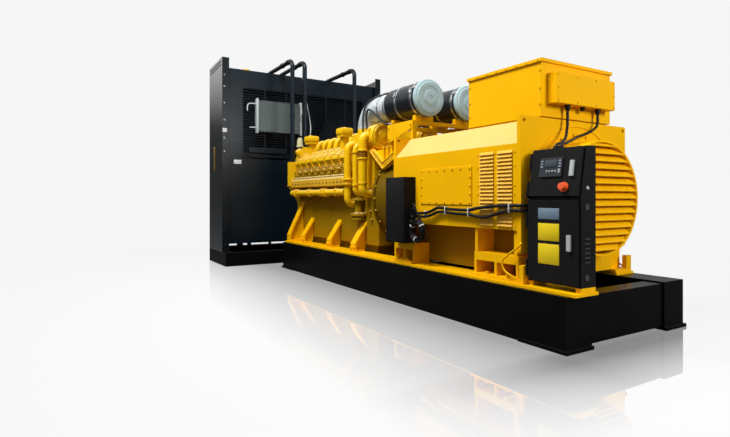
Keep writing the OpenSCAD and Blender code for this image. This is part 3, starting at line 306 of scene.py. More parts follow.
crank_z = 1.05
bank_lean = radians(36)
cylinder_pitch = 0.205
cylinders = 8
bank_x = end_x - 3.36
cover_top, cover_foot = 0.789, 0.676
pads = bmesh.new()
screws = bmesh.new()
bosses = bmesh.new()
for side in (-1, 1):
    for i in range(cylinders):
        x = bank_x - (i + 1) * cylinder_pitch + 0.006
        tilt = Matrix.Translation((x, 0, crank_z)) @ Matrix.Rotation(-side * bank_lean, 4, "X")
        up = tilt.to_3x3() @ Vector((0, 0, 1))
        outward = tilt.to_3x3() @ Vector((0, side, 0))
        bar(pads, (0.034, -0.105, cover_top - 0.014), (0.159, 0.105, cover_top), 0.006, tilt)
        bar(pads, (0.012, -0.158, cover_foot - 0.021), (0.181, 0.158, cover_foot), 0.005, tilt)
        for dx in (0.055, 0.138):
            bolt(screws, tilt @ Vector((dx, 0, cover_top)), up, 0.022, 0.014)
        for dx in (0.030, 0.0965, 0.163):
            for y in (-0.152, 0.152):
                bolt(screws, tilt @ Vector((dx, y, cover_foot)), up, 0.018, 0.014)
        port = tilt @ Vector((0.0965, side * 0.168, 0.59))
        lathe(bosses, [(0.030, 0.0), (0.056, 0.0), (0.058, 0.004), (0.056, 0.030), (0.050, 0.034), (0.040, 0.034),
                       (0.034, 0.012), (0.030, 0.010)], port, outward, 24)
        for dx, rise, radius, reach in ((0.025, 0.625, 0.014, 0.045), (0.170, 0.625, 0.014, 0.045),
                                        (0.170, 0.550, 0.012, 0.03)):
            root = tilt @ Vector((dx, side * 0.166, rise))
            lathe(bosses, [(0.0, reach + 0.01), (radius * 0.6, reach + 0.01), (radius * 0.6, reach), (radius, reach),
                           (radius, 0.0), (0.0, 0.0)], root, outward, 12)
piece("cover_pads", pads, upper_highlit_yellow)
piece("cover_bolts", screws, upper_highlit_yellow)
piece("head_bosses", bosses, upper_highlit_yellow)


# Fuel lines and ledge: thin steel lines climb from the ledge to each head past a row of rounded pump covers,
# and two rows of bolts hold the ledge's cover strip. All of it is painted over with the block.
def tube(name, routes, radius, material, body="set"):
    """Bent pipes or leads through their points, with round ends closed."""
    shape = bpy.data.curves.new(name, "CURVE")
    shape.dimensions = "3D"
    shape.bevel_depth, shape.bevel_resolution, shape.resolution_u, shape.use_fill_caps = radius, 3, 5, True
    for route in routes:
        spline = shape.splines.new("BEZIER")
        spline.bezier_points.add(len(route) - 1)
        for knot, point in zip(spline.bezier_points, route):
            knot.co = point
            knot.handle_left_type = knot.handle_right_type = "AUTO"
    shape.materials.append(material)
    obj = bpy.data.objects.new(name, shape)
    scene.collection.objects.link(obj)
    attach(obj, body)
    return obj


lines = []
bm = bmesh.new()
pumps = bmesh.new()
for side in (-1, 1):
    for i in range(cylinders):
        x = bank_x - (i + 0.5) * cylinder_pitch
        lines.append([(x + 0.09, side * 0.545, 1.365), (x + 0.09, side * 0.565, 1.42), (x + 0.075, side * 0.56, 1.46),
                      (x + 0.06, side * 0.53, 1.475), (x + 0.06, side * 0.47, 1.475)])
        lines.append([(x - 0.085, side * 0.545, 1.365), (x - 0.085, side * 0.555, 1.42),
                      (x - 0.07, side * 0.545, 1.45), (x - 0.05, side * 0.50, 1.455), (x - 0.05, side * 0.46, 1.455)])
        low_y, high_y = sorted((side * 0.552, side * 0.462))
        bar(pumps, (x - 0.068, low_y, 1.352), (x + 0.068, high_y, 1.412), 0.022)
        for dx in (-0.04, 0.04):
            bolt(pumps, (x + dx, side * 0.525, 1.411), (0, 0, 1), 0.018, 0.014)
        for dx in (-0.077, -0.026, 0.026, 0.077):
            bolt(bm, (x + dx, side * 0.572, 1.338), (0, side * 0.7, 0.7), 0.020, 0.012)
        for dx in (-0.05, 0.05):
            bolt(bm, (x + dx, side * 0.600, 1.262), (0, side, 0), 0.018, 0.010)
# These take the block's darker copy of the yellow, which is painted shade.
tube("fuel_lines", lines, 0.008, shaded_yellow)
piece("ledge_bolts", bm, shaded_yellow)
piece("pump_covers", pumps, shaded_yellow)


# Riser pipes and manifolds: steel pipes with bolted flanges; the thickest riser has a rubber hose held by band
# clamps, and plugs and drain cocks are screwed into the crankcase below. Goosenecks lead from the heads to the
# exhaust manifold.
elbow_x, elbow_y = -0.065, 0.58
thin_x, thick_x, riser_y = 0.095, 0.265, 0.5603
manifold_y, manifold_z = 0.575, 1.128
block_y = 0.45
bm = bmesh.new()
hoses = bmesh.new()
plugs = bmesh.new()
necks = []
for side in (-1, 1):
    pair = [(0.043, 0), (0.068, 0), (0.070, 0.003), (0.070, 0.020), (0.050, 0.022), (0.050, 0.060), (0.070, 0.062),
            (0.070, 0.079), (0.068, 0.082), (0.043, 0.082)]
    lathe(bm, pair, (elbow_x, side * elbow_y, 1.215), (0, 0, 1))
    for turn in range(6):
        a = turn * pi / 3
        spot = (elbow_x + 0.060 * cos(a), side * elbow_y + 0.060 * sin(a), 1.297)
        bolt(bm, spot, (0, 0, 1), 0.014, 0.012)
    for z in (1.20, 1.60):
        lathe(bm, [(0.035, 0), (0.046, 0.002), (0.046, 0.018), (0.035, 0.020)], (thin_x, side * riser_y, z), (0, 0, 1))
    for z in (1.510, 1.606):
        lathe(bm, [(0.051, 0), (0.063, 0.002), (0.065, 0.006), (0.065, 0.018), (0.063, 0.022), (0.051, 0.024)],
              (thick_x, side * riser_y, z), (0, 0, 1))
    for z in (1.535, 1.559, 1.583):
        lathe(hoses, [(0.051, 0), (0.056, 0.004), (0.059, 0.012), (0.056, 0.020), (0.051, 0.024)],
              (thick_x, side * riser_y, z), (0, 0, 1))
    lathe(bm, [(0.051, 0), (0.060, 0.002), (0.060, 0.016), (0.051, 0.018)], (thick_x, side * riser_y, 1.22), (0, 0, 1))
    for i in range(cylinders // 2):
        x = bank_x - (1 + 2 * i) * cylinder_pitch
        for dx in (-0.018, 0.018):
            for turn in range(8):
                a = turn * pi / 4 + 0.2
                spot = (x + dx, side * manifold_y + 0.051 * cos(a), manifold_z + 0.051 * sin(a))
                bolt(bm, spot, (dx, 0, 0), 0.011, 0.009)
    for x, radius in ((-0.67, 0.062), (-1.20, 0.054), (-1.66, 0.062)):
        lathe(bm, [(0.043, 0), (radius - 0.002, 0), (radius, 0.003), (radius, 0.019), (radius - 0.002, 0.022),
                   (0.043, 0.022)], (x, side * manifold_y, manifold_z), (1, 0, 0))
    for d, z, radius in ((3.27, 0.905, 0.026), (3.147, 0.905, 0.020), (3.052, 0.859, 0.028), (2.937, 0.886, 0.020),
                         (3.245, 0.828, 0.018), (3.123, 0.772, 0.024), (2.90, 0.79, 0.018), (4.62, 1.02, 0.022),
                         (4.47, 0.98, 0.018), (4.30, 1.01, 0.020), (3.92, 0.93, 0.018)):
        lathe(plugs, [(0.0, 0.036), (radius * 0.6, 0.036), (radius * 0.6, 0.016), (radius, 0.014), (radius, -0.002),
                      (0.0, -0.002)], (end_x - d, side * block_y, z), (0, side, 0), 16)
    for i in range(cylinders):
        x = bank_x - (i + 0.5) * cylinder_pitch
        necks.append([(x, side * y, z) for y, z in (
            (0.20, 1.62), (0.213, 1.71), (0.210, 1.80), (0.185, 1.875), (0.140, 1.910), (0.08, 1.905), (0.04, 1.87))])
        lathe(bm, [(0.041, 0), (0.056, 0.002), (0.058, 0.006), (0.058, 0.020), (0.041, 0.024)],
              (x, side * 0.213, 1.745), (0, 0, 1), 24)
tube("exhaust_necks", necks, 0.040, upper_highlit_yellow)
piece("pipe_flanges", bm, upper_highlit_yellow)
# The plugs take the block's darker copy of the yellow, which is painted shade.
piece("block_plugs", plugs, shaded_yellow)
hose_ochre = paint("hose_ochre", colour("8a5c06"), 0.5, tone=0.15, shine=0.06)
piece("riser_hoses", hoses, hose_ochre)


# Pump necks: a cast neck stands against the crankcase under the risers on each side, with a bolted flange
# at the top and a wider one above its foot. It was painted with the block.
bm = bmesh.new()
for side in (-1, 1):
    base = Vector((0.08, side * 0.505, 0.79))
    lathe(bm, [(0.0, 0.270), (0.060, 0.270), (0.060, 0.255), (0.082, 0.253), (0.085, 0.248), (0.085, 0.232),
               (0.052, 0.228), (0.046, 0.150), (0.050, 0.090), (0.075, 0.075), (0.098, 0.070), (0.100, 0.065),
               (0.100, 0.045), (0.080, 0.040), (0.090, 0.0), (0.0, 0.0)], base, (0, 0, 1), 40)
    for turn in range(8):
        a = turn * pi / 4 + 0.3
        for reach, rise in ((0.074, 0.254), (0.088, 0.071)):
            bolt(bm, base + Vector((reach * cos(a), reach * sin(a), rise)), (0, 0, 1), 0.014, 0.012)
# The necks take the block's darker copy of the yellow, which is painted shade.
piece("pump_necks", bm, shaded_yellow)


# Turbocharger covers: cast round covers held by a ring of bolts; the charge cooler's flange strip is two ribs with
# bolts between them, and three vent tubes stand on its rear end.
bend_x = 0.571
bm = bmesh.new()
for side in (-1, 1):
    face = (0.395, side * 0.334, 1.785)
    lathe(bm, [(0.160, -0.032), (0.169, -0.031), (0.173, -0.026), (0.173, -0.008), (0.168, 0.0), (0.152, 0.0)],
          face, (1, 0, 0), 56)
    lathe(bm, [(0.0, 0.020), (0.030, 0.018), (0.044, 0.009), (0.080, 0.009), (0.088, 0.001), (0.118, 0.001),
               (0.124, 0.009), (0.148, 0.009), (0.155, -0.002)], face, (1, 0, 0), 56)
    for turn in range(10):
        a = turn * pi / 5 + 0.15
        bolt(bm, (face[0] + 0.009, face[1] + 0.136 * cos(a), face[2] + 0.136 * sin(a)), (1, 0, 0), 0.017, 0.012)
    low_y, high_y = sorted((side * 0.467, side * 0.482))
    for z, slant, length in ((1.389, 38.68, -0.37), (1.462, 38.68, -0.26),
                             (1.389, -25.1, 0.235), (1.462, -25.1, 0.235)):
        seat = Matrix.Translation((bend_x, 0, z)) @ Matrix.Rotation(radians(slant), 4, "Y")
        bar(bm, (min(0, length), low_y, -0.008), (max(0, length), high_y, 0.008), 0.003, seat)
    for share in range(1, 8):
        for run, climb in ((-0.25, 0.2), (0.21, 0.1)):
            spot = (bend_x + run * share / 8, side * 0.47, 1.425 + climb * share / 8)
            bolt(bm, spot, (0, side, 0), 0.016, 0.012)
    for x, low_z in ((0.557, 1.45), (0.640, 1.48), (0.720, 1.52)):
        tall = 1.650 - low_z
        lathe(bm, [(0.0, tall), (0.012, tall - 0.002), (0.014, tall - 0.020), (0.010, tall - 0.024), (0.010, 0.045),
                   (0.016, 0.043), (0.016, 0.0), (0.0, 0.0)], (x, side * 0.449, low_z), (0, 0, 1), 16)
piece("turbo_clamps", bm, upper_highlit_yellow)


# Turbine hoods: a cast cover with rounded edges slopes outward over each turbine inlet, held by three bolts.
# It is bolted to the turbocharger housing, beside the foot of the intake duct.
bm = bmesh.new()
for side in (-1, 1):
    seat = Matrix.Translation((-0.10, side * 0.315, 1.855)) @ Matrix.Rotation(radians(-side * 20), 4, "X")
    bar(bm, (-0.12, -0.115, -0.045), (0.12, 0.115, 0.045), 0.022, seat)
    for x, y in ((-0.09, -0.085), (-0.09, 0.085), (0.0, side * 0.085)):
        bolt(bm, seat @ Vector((x, y, 0.044)), seat.to_3x3() @ Vector((0, 0, 1)), 0.024, 0.014)
piece("turbo_hoods", bm, upper_highlit_yellow)


# Breather caps and flywheel housing: pressed square lids on the breathers, a domed filler on each side of the front
# cover with a pale outlet beside it, and a ring of bolts round each housing flange.
lid_y, lid_half = 0.41, 0.090
lid_low, lid_top = 1.890, 1.980
flange_r = 0.538
bm = bmesh.new()
outlets = bmesh.new()
for side in (-1, 1):
    for share in (0.1875, 0.8125):
        x, y = bank_x - share * cylinders * cylinder_pitch, side * lid_y
        bar(bm, (x - lid_half, y - lid_half, lid_low), (x + lid_half, y + lid_half, lid_top), 0.022)
        bolt(bm, (x, y, lid_top), (0, 0, 1), 0.03, 0.014)
    lean = (0, side * sin(bank_lean), cos(bank_lean))
    lathe(bm, [(0.0, 0.150), (0.030, 0.146), (0.052, 0.130), (0.060, 0.105), (0.060, 0.040), (0.072, 0.036),
               (0.072, 0.014), (0.060, 0.010), (0.060, -0.012), (0.0, -0.012)], (-1.70, side * 0.455, 1.676), lean, 32)
    lathe(outlets, [(0.0, 0.145), (0.030, 0.145), (0.034, 0.140), (0.034, 0.115), (0.046, 0.110), (0.046, 0.030),
                    (0.056, 0.028), (0.056, 0.0), (0.0, 0.0)], (-1.860, side * 0.43, 1.85), (0, 0, 1), 24)
for x, out in ((end_x - 2.18, -1), (end_x - 2.72, 1)):
    for turn in range(-3, 16):
        a = turn * pi / 12
        bolt(bm, (x, flange_r * cos(a), crank_z + flange_r * sin(a)), (out, 0, 0), 0.016, 0.014)
piece("housing_bolts", bm, upper_highlit_yellow)
outlet_pale = paint("outlet_pale", colour("c9c79a"), 0.45, shine=0.2)
piece("front_outlets", outlets, outlet_pale)


# Air cleaners: black sheet-metal drums, each closed by a pale blue-grey pressed cap with raised rings.
# The caps are spun sheet, clipped to the drum's end.
drum_black = paint("drum_black", colour("1c2023"), 0.30, tone=0.15, shine=0.25)
cap_grey = paint("cap_grey", colour("a3babf"), 0.36, shine=0.1)
cover(drum_black, "air_cleaners")
cleaner_y, cleaner_z = 0.28, 2.12
cap_x = end_x - 2.07
bm = bmesh.new()
for side in (-1, 1):
    lathe(bm, [(0.0, 0.052), (0.022, 0.052), (0.027, 0.060), (0.070, 0.060), (0.077, 0.050), (0.085, 0.046),
               (0.120, 0.046), (0.126, 0.054), (0.160, 0.054), (0.168, 0.044), (0.186, 0.043), (0.194, 0.037),
               (0.196, 0.028), (0.196, 0.004), (0.193, 0.0), (0.0, 0.0)],
          (cap_x, side * cleaner_y, cleaner_z), (1, 0, 0), 64)
caps = piece("cleaner_caps", bm, cap_grey)
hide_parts("air_cleaner_caps")


# Intake tray: the frame under the air cleaners is closed on each side by a cut steel plate, tapered towards the
# generator end and bolted on. It is painted with the frame.
tray_y, plate_thick = 0.449, 0.008
bm = bmesh.new()
for side in (-1, 1):
    outline = [bm.verts.new((x, side * tray_y, z)) for x, z in (
        (0.645, 1.875), (1.110, 1.875), (1.110, 1.800), (0.720, 1.685), (0.645, 1.685))]
    grown = bmesh.ops.extrude_face_region(bm, geom=[bm.faces.new(outline)])["geom"]
    outer = [v for v in grown if isinstance(v, bmesh.types.BMVert)]
    bmesh.ops.translate(bm, vec=(0, side * plate_thick, 0), verts=outer)
    for x, z in ((0.67, 1.84), (0.67, 1.72), (1.08, 1.84)):
        bolt(bm, (x, side * 0.456, z), (0, side, 0), 0.020, 0.012)
piece("tray_gussets", bm, set_yellow)


# Bands, ducts and vent hoses: steel bands with latches hold the drums and clamp the foil-wrapped ducts, which bend
# down to the turbochargers. Black rubber vent hoses loop up beside them.
def metal(name, shade, roughness, wrinkle=0.0, bare=1.0):
    """Bare metal: bright, with fine scratches, and crumpled where it is foil."""
    made = bpy.data.materials.new(name)
    made.use_nodes = True
    tree = made.node_tree
    tree.nodes.clear()
    start = Shade(tree)
    place = start.node("ShaderNodeTexCoord", out=3)
    crease = start.node("ShaderNodeTexVoronoi", {"feature": "SMOOTH_F1"}, {"Vector": place, "Scale": 26.0})
    grain = start.node("ShaderNodeTexNoise", None, {"Vector": place, "Scale": 120.0, "Detail": 4.0})
    tone = start.node("ShaderNodeTexNoise", None, {"Vector": place, "Scale": 6.0, "Detail": 3.0})
    deep = tuple(c * 0.72 for c in shade)
    body = start.node("ShaderNodeMix", {"data_type": "RGBA"}, {0: tone, 6: (*deep, 1), 7: (*shade, 1)}, out=2)
    edge = start.node("ShaderNodeBevel", {"samples": 4}, {"Radius": 0.002})
    bump = start.node("ShaderNodeBump", None, {
        "Strength": 0.6, "Distance": 0.012, "Height": crease * wrinkle + grain * 0.02, "Normal": edge})
    skin = start.node("ShaderNodeBsdfPrincipled", None, {
        "Base Color": body, "Metallic": bare, "Roughness": grain * 0.2 + (roughness - 0.1), "Normal": bump})
    start.node("ShaderNodeOutputMaterial", None, {"Surface": skin})
    return made


band_steel = metal("band_steel", colour("b9bdc0"), 0.34)
duct_foil = metal("duct_foil", colour("d3dadc"), 0.36, wrinkle=1.0, bare=0.3)
cover(duct_foil, "intake_ducts")
duct_radius = 0.166
bm = bmesh.new()
for side in (-1, 1):
    for turn in range(3):
        clip = Matrix.Rotation(turn * pi * 2 / 3 + 0.5, 4, "Z")
        seat = along((1, 0, 0), (cap_x, side * cleaner_y, cleaner_z)) @ clip
        bar(bm, (0.186, -0.018, -0.05), (0.203, 0.018, 0.034), 0.004, seat)
    for d in (2.14, 2.43):
        hoop = (end_x - d, side * cleaner_y, cleaner_z)
        lathe(bm, [(0.189, 0), (0.195, 0.002), (0.195, 0.030), (0.189, 0.032)], hoop, (1, 0, 0), 64)
        latch = Matrix.Rotation(0.35 * side + (pi if side < 0 else 0), 4, "Z")
        bar(bm, (0.19, -0.03, 0.004), (0.215, 0.03, 0.028), 0.004, along((1, 0, 0), hoop) @ latch)
    for d in (2.635, 2.70, 2.83):
        lathe(bm, [(duct_radius - 0.003, 0), (duct_radius + 0.005, 0.002), (duct_radius + 0.005, 0.020),
                   (duct_radius - 0.003, 0.022)], (end_x - d, side * cleaner_y, cleaner_z), (1, 0, 0), 64)
piece("cleaner_bands", bm, band_steel)
hose_rubber = paint("hose_rubber", colour("1a1c1f"), 0.5, tone=0.2, shine=0.3)
tall_loop = ((0.10, 0.455, 1.83), (0.11, 0.462, 1.93), (0.13, 0.466, 2.08), (0.17, 0.450, 2.185), (0.24, 0.395, 2.255),
             (0.33, 0.32, 2.293), (0.43, 0.285, 2.300), (0.47, 0.28, 2.275))
long_loop = ((0.205, 0.455, 1.85), (0.203, 0.463, 1.95), (0.205, 0.468, 2.06), (0.245, 0.472, 2.112),
             (0.31, 0.474, 2.10), (0.37, 0.470, 2.06), (0.45, 0.462, 2.00), (0.53, 0.452, 1.94),
             (0.60, 0.442, 1.895), (0.66, 0.430, 1.885), (0.72, 0.425, 1.885))
loops = [[(x, side * y, z) for x, y, z in loop] for side in (-1, 1) for loop in (tall_loop, long_loop)]
tube("vent_hoses", loops, 0.011, hose_rubber)


# Alternator: a welded steel stator frame between two thick end plates, with sheet air boxes, a round louvred
# cover on the end and a terminal box on the roof, all in the same yellow, with sheet-metal screws along the edges.
# The alternator body takes the block's darker copy of the yellow as painted shade under the air boxes, and the air
# boxes a copy with a strong painted highlight on their upward faces.
cover(shaded_yellow, "alternator_body")
roof_highlit_yellow = paint("roof_highlit_yellow", colour("f4b606"), 0.28, top_highlight=0.85, shine=0.08)
cover(roof_highlit_yellow, "air_boxes")
cover(set_yellow, "alternator_end_frame", "alternator_drive_frame", "alternator_feet", "end_grille", "terminal_box",
      "connection_box", "cabinet_stand")
panel_y, box_y, terminal_y, roof_y = 0.675, 0.667, 0.442, 0.456
end_frame_x, end_frame_ring = 2.765, 0.515
connection_x = 2.855
bm = bmesh.new()
for side in (-1, 1):
    for x in [2.213 - 0.650 * i / 6 for i in range(7)]:
        for z in (1.013, 1.303):
            bolt(bm, (x, side * panel_y, z), (0, side, 0), 0.014, 0.007)
    for z in (1.085, 1.158, 1.231):
        for x in (2.220, 1.556):
            bolt(bm, (x, side * panel_y, z), (0, side, 0), 0.014, 0.007)
    for x in (2.705, 2.5075, 2.310):
        for z in (0.83, 1.08, 1.15, 1.30, 1.405):
            bolt(bm, (x, side * box_y, z), (0, side, 0), 0.011, 0.005)
    for x in (2.752, 1.973):
        for z in (1.785, 1.91, 2.05):
            bolt(bm, (x, side * terminal_y, z), (0, side, 0), 0.014, 0.007)
    for x in [2.74 - 0.76 * i / 7 for i in range(8)]:
        bolt(bm, (x, side * roof_y, 2.124), (0, side, 0), 0.011, 0.005)
for turn in range(20):
    a = turn * pi / 10 + 0.1
    spot = (end_frame_x, end_frame_ring * cos(a), crank_z + end_frame_ring * sin(a))
    bolt(bm, spot, (1, 0, 0), 0.02, 0.012)
for y in (-0.355, 0.355):
    for z in (1.81, 1.91, 2.01):
        bolt(bm, (connection_x, y, z), (1, 0, 0), 0.012, 0.006)
for y in (-0.12, 0.12):
    for z in (1.81, 2.01):
        bolt(bm, (connection_x, y, z), (1, 0, 0), 0.012, 0.006)
piece("sheet_screws", bm, set_yellow)
drain = ((2.755, 0.655, 0.715), (2.770, 0.676, 0.705), (2.735, 0.690, 0.668), (2.66, 0.700, 0.612),
         (2.612, 0.703, 0.565), (2.622, 0.703, 0.508), (2.69, 0.698, 0.462), (2.735, 0.680, 0.442),
         (2.750, 0.668, 0.428))
drains = [[(x, side * y, z) for x, y, z in drain] for side in (-1, 1)]
tube("drain_tubes", drains, 0.008, set_yellow)


# Leads: two black cables run from the junction box along the air box to the cabinet and two from the connection box
# to the cabinet's top; they are clipped at both ends, and white ties hold the long pair together.
def path(points):
    """A route given as distance from the generator end, across and height in millimetres."""
    return [(end_x - d / 1000, y / 1000, z / 1000) for d, y, z in points]


lead_black = paint("lead_black", colour("0f0f11"), 0.42, tone=0.2, shine=0.2)
leads = tube("side_leads", [
    path([(1763, -720, 910), (1700, -720, 910), (1620, -718, 910), (1540, -712, 914), (1460, -706, 936),
          (1390, -702, 962), (1320, -700, 964), (1260, -700, 957), (1160, -700, 952), (1060, -700, 950),
          (970, -700, 952), (880, -700, 968), (780, -700, 980), (680, -700, 988), (580, -700, 992),
          (530, -697, 994), (500, -693, 995), (465, -690, 995), (450, -687, 995), (437, -678, 995), (428, -665, 995),
          (425, -650, 995), (425, -600, 995), (422, -587, 995), (413, -578, 995), (406, -575, 995), (400, -575, 995)]),
    path([(1763, -720, 878), (1700, -720, 878), (1620, -718, 878), (1540, -712, 880), (1460, -706, 900),
          (1390, -702, 924), (1320, -700, 930), (1250, -700, 924), (1160, -700, 918), (1060, -700, 916),
          (970, -700, 914), (900, -700, 902), (820, -700, 896), (740, -700, 906), (660, -700, 928),
          (580, -700, 946), (530, -697, 955), (500, -693, 958), (465, -690, 958), (450, -687, 958), (437, -678, 958),
          (428, -665, 958), (425, -650, 958), (425, -600, 958), (422, -587, 958), (413, -578, 958), (406, -575, 958),
          (400, -575, 958)])], 0.014, lead_black)
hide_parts("harness")
cables = tube("roof_cables", [
    path([(405, -186, 1790), (405, -186, 1740), (403, -188, 1690), (396, -198, 1640), (380, -228, 1580),
          (352, -275, 1535), (320, -330, 1505), (290, -395, 1480), (262, -460, 1460), (249, -512, 1446),
          (245, -530, 1430), (245, -530, 1410)]),
    path([(405, 202, 1790), (405, 202, 1740), (402, 199, 1690), (400, 186, 1655), (399, 150, 1625), (397, 95, 1598),
          (394, 20, 1572), (386, -49, 1555), (365, -120, 1538), (335, -190, 1520), (300, -265, 1500), (265, -340, 1482),
          (232, -415, 1466), (210, -470, 1452), (202, -514, 1444), (200, -532, 1430), (200, -532, 1410)])],
    0.011, lead_black)
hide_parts("cabinet_cables")
centre = [(a + b) / 2 for a, b in zip(*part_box("harness_coil"))]
coil_radius = 0.088
turns = []
for k, (dr, dy) in enumerate(((0.0, 0.0), (0.012, 0.012), (-0.012, 0.012), (0.012, -0.012), (-0.012, -0.012))):
    radius = coil_radius + dr
    angles = [pi * step / 8 + k for step in range(17)]
    turns.append([(centre[0] + radius * cos(a), centre[1] + dy, centre[2] + radius * sin(a)) for a in angles])
coil = tube("lead_coil", turns, 0.010, lead_black)
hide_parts("harness_coil")
tube("lead_tails", [
    [(1.44, -0.73, 0.96), (1.49, -0.74, 1.00), (1.545, -0.745, 0.97), (1.555, -0.745, 0.90), (1.51, -0.74, 0.86),
     (1.47, -0.735, 0.89), (1.48, -0.73, 0.95), (1.54, -0.728, 0.93), (1.58, -0.728, 0.86), (1.60, -0.73, 0.81)],
    [(1.44, -0.72, 0.90), (1.50, -0.73, 0.93), (1.56, -0.735, 0.92), (1.60, -0.735, 0.87), (1.625, -0.73, 0.80)],
    [(1.44, -0.735, 0.84), (1.48, -0.745, 0.83), (1.50, -0.745, 0.78), (1.49, -0.74, 0.72)]],
    0.008, lead_black)
tie_white = paint("tie_white", colour("e6e6e2"), 0.45)
bm = bmesh.new()
for d, z in ((1.558, 0.897), (1.272, 0.942), (0.977, 0.933), (0.53, 0.975)):
    bar(bm, (end_x - d - 0.004, -0.719, z - 0.036), (end_x - d + 0.004, -0.684, z + 0.036), 0.003)
for a in (0.6, 2.6, 4.5):
    spot = (centre[0] + coil_radius * cos(a), centre[1], centre[2] + coil_radius * sin(a))
    lathe(bm, [(0.022, -0.004), (0.0275, -0.004), (0.0275, 0.004), (0.022, 0.004)], spot, (-sin(a), 0, cos(a)), 20)
piece("cable_ties", bm, tie_white)
gland_x, connection_foot, cabinet_top = 2.81, 1.79, 1.41
bm = bmesh.new()
for y in (-0.186, 0.202):
    lathe(bm, [(0.010, 0.0), (0.024, 0.0), (0.024, -0.014), (0.019, -0.016), (0.019, -0.034), (0.014, -0.042),
               (0.010, -0.042)], (gland_x, y, connection_foot), (0, 0, 1), 24)
lathe(bm, [(0.0, -0.03), (0.014, -0.03), (0.019, -0.02), (0.019, 0.0), (0.0, 0.0)],
      (gland_x, 0.003, connection_foot), (0, 0, 1), 24)
for x, y in ((2.970, -0.530), (3.015, -0.532)):
    lathe(bm, [(0.010, 0.026), (0.014, 0.026), (0.019, 0.020), (0.019, 0.012), (0.024, 0.010), (0.024, 0.0),
               (0.010, 0.0)], (x, y, cabinet_top), (0, 0, 1), 24)
piece("cable_glands", bm, lead_black)


# Control cabinet: a folded sheet-steel box in satin black powder coat, with a sloping upper door that carries the
# controller and stop button, and a tall lower door; each door has a slim zinc lift handle.
cabinet_black = paint("cabinet_black", colour("1a1a1b"), 0.42, tone=0.12, peel=0.5, shine=0.08)
cover(cabinet_black, "cabinet_shell", "upper_door", "lower_door", "junction_box")
stop_red = paint("stop_red", colour("ea6034"), 0.3, shine=0.2)
cover(stop_red, "stop_button")
controller_grey = paint("controller_grey", colour("34383d"), 0.5, shine=0.1)
cover(controller_grey, "controller")
handle_zinc = paint("handle_zinc", colour("b9bcbc"), 0.3, tone=0.1, peel=0.0, soften=0.002, shine=0.5)
cover(handle_zinc, "upper_handle", "lower_handle")
slope = Matrix.Translation((0, -0.662687, 1.053781)) @ Matrix.Rotation(radians(-9.4623), 4, "X")
low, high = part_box("controller")
middle = slope.inverted() @ Vector([(a + b) / 2 for a, b in zip(low, high)])
desk = slope @ Matrix.Translation((middle.x, -0.012, middle.z))
screen_glass = paint("screen_glass", colour("3c454a"), 0.2, peel=0.0, shine=0.3)
bm = bmesh.new()
bar(bm, (-0.050, -0.0030, -0.002), (0.050, 0.001, 0.052), 0.001, desk)
piece("controller_screen", bm, screen_glass, "upper_door_body")
key_pale = paint("key_pale", colour("969ba0"), 0.45, shine=0.1)
bm = bmesh.new()
for x in (-0.076, 0.076):
    for z in (0.044, 0.024, 0.004):
        bar(bm, (x - 0.010, -0.0035, z - 0.006), (x + 0.010, 0.001, z + 0.006), 0.0015, desk)
for x in (-0.030, -0.006, 0.018, 0.042):
    lathe(bm, [(0.0, 0.004), (0.007, 0.004), (0.0085, 0.0025), (0.0085, -0.001), (0.0, -0.001)],
          desk @ Vector((x, 0, -0.030)), desk.to_3x3() @ Vector((0, -1, 0)), 16)
bar(bm, (0.064, -0.0035, -0.046), (0.084, 0.001, -0.014), 0.0015, desk)
piece("controller_keys", bm, key_pale, "upper_door_body")


# Door plates and side fittings: plain thin plates are screwed to the lower door by their corners, and the cabinet's
# side has a zinc lock, two plastic knock-out covers and a row of pressed air slots.
plate_yellow = paint("plate_yellow", colour("e3c51a"), 0.5, shine=0.2)
plate_blue = paint("plate_blue", colour("6f8192"), 0.5, shine=0.2)
door_y = -0.663
plate_y = door_y - 0.0016
for name, z0, z1, finish in (("blue_plate", 0.900, 0.980, plate_blue),
                             ("upper_yellow_plate", 0.747, 0.871, plate_yellow),
                             ("lower_yellow_plate", 0.580, 0.725, plate_yellow)):
    bm = bmesh.new()
    bar(bm, (2.92, plate_y, z0), (3.10, door_y + 0.0005, z1), 0.0006)
    for x in (2.929, 3.091):
        for z in (z0 + 0.009, z1 - 0.009):
            bolt(bm, (x, plate_y, z), (0, -1, 0), 0.006, 0.002)
    piece(name, bm, finish, "lower_door_body")
side_x, lock_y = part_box("cabinet_shell")[1][0], -0.575
bm = bmesh.new()
lathe(bm, [(0.0, 0.010), (0.009, 0.010), (0.013, 0.006), (0.013, 0.0), (0.0, 0.0)],
      (side_x, lock_y, 1.12), (1, 0, 0), 20)
piece("cabinet_lock", bm, handle_zinc)
slot_dark = paint("slot_dark", colour("3a3b3e"), 0.5, shine=0.2)
bm = bmesh.new()
for z in (0.991, 0.509):
    lathe(bm, [(0.0, 0.002), (0.016, 0.002), (0.018, 0.0035), (0.021, 0.0035), (0.022, 0.0), (0.0, 0.0)],
          (side_x, lock_y, z), (1, 0, 0), 28)
for i in range(6):
    z = 0.607 + i * 0.032
    bar(bm, (side_x - 0.001, -0.60, z), (side_x + 0.004, -0.545, z + 0.010), 0.002)
piece("cabinet_side_fittings", bm, slot_dark)


# Junction box lid: a shallow sheet-steel lid on the small box at the alternator's side, in the cabinet's black
# powder coat. One bolt holds it at each corner.
low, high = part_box("junction_box")
bm = bmesh.new()
bar(bm, (low[0] + 0.008, low[1] - 0.006, low[2] + 0.008), (high[0] - 0.008, low[1] + 0.001, high[2] - 0.008), 0.003)
for x in (low[0] + 0.03, high[0] - 0.03):
    for z in (low[2] + 0.03, high[2] - 0.03):
        bolt(bm, (x, low[1] - 0.006, z), (0, -1, 0), 0.014, 0.006)
piece("junction_lid", bm, cabinet_black)


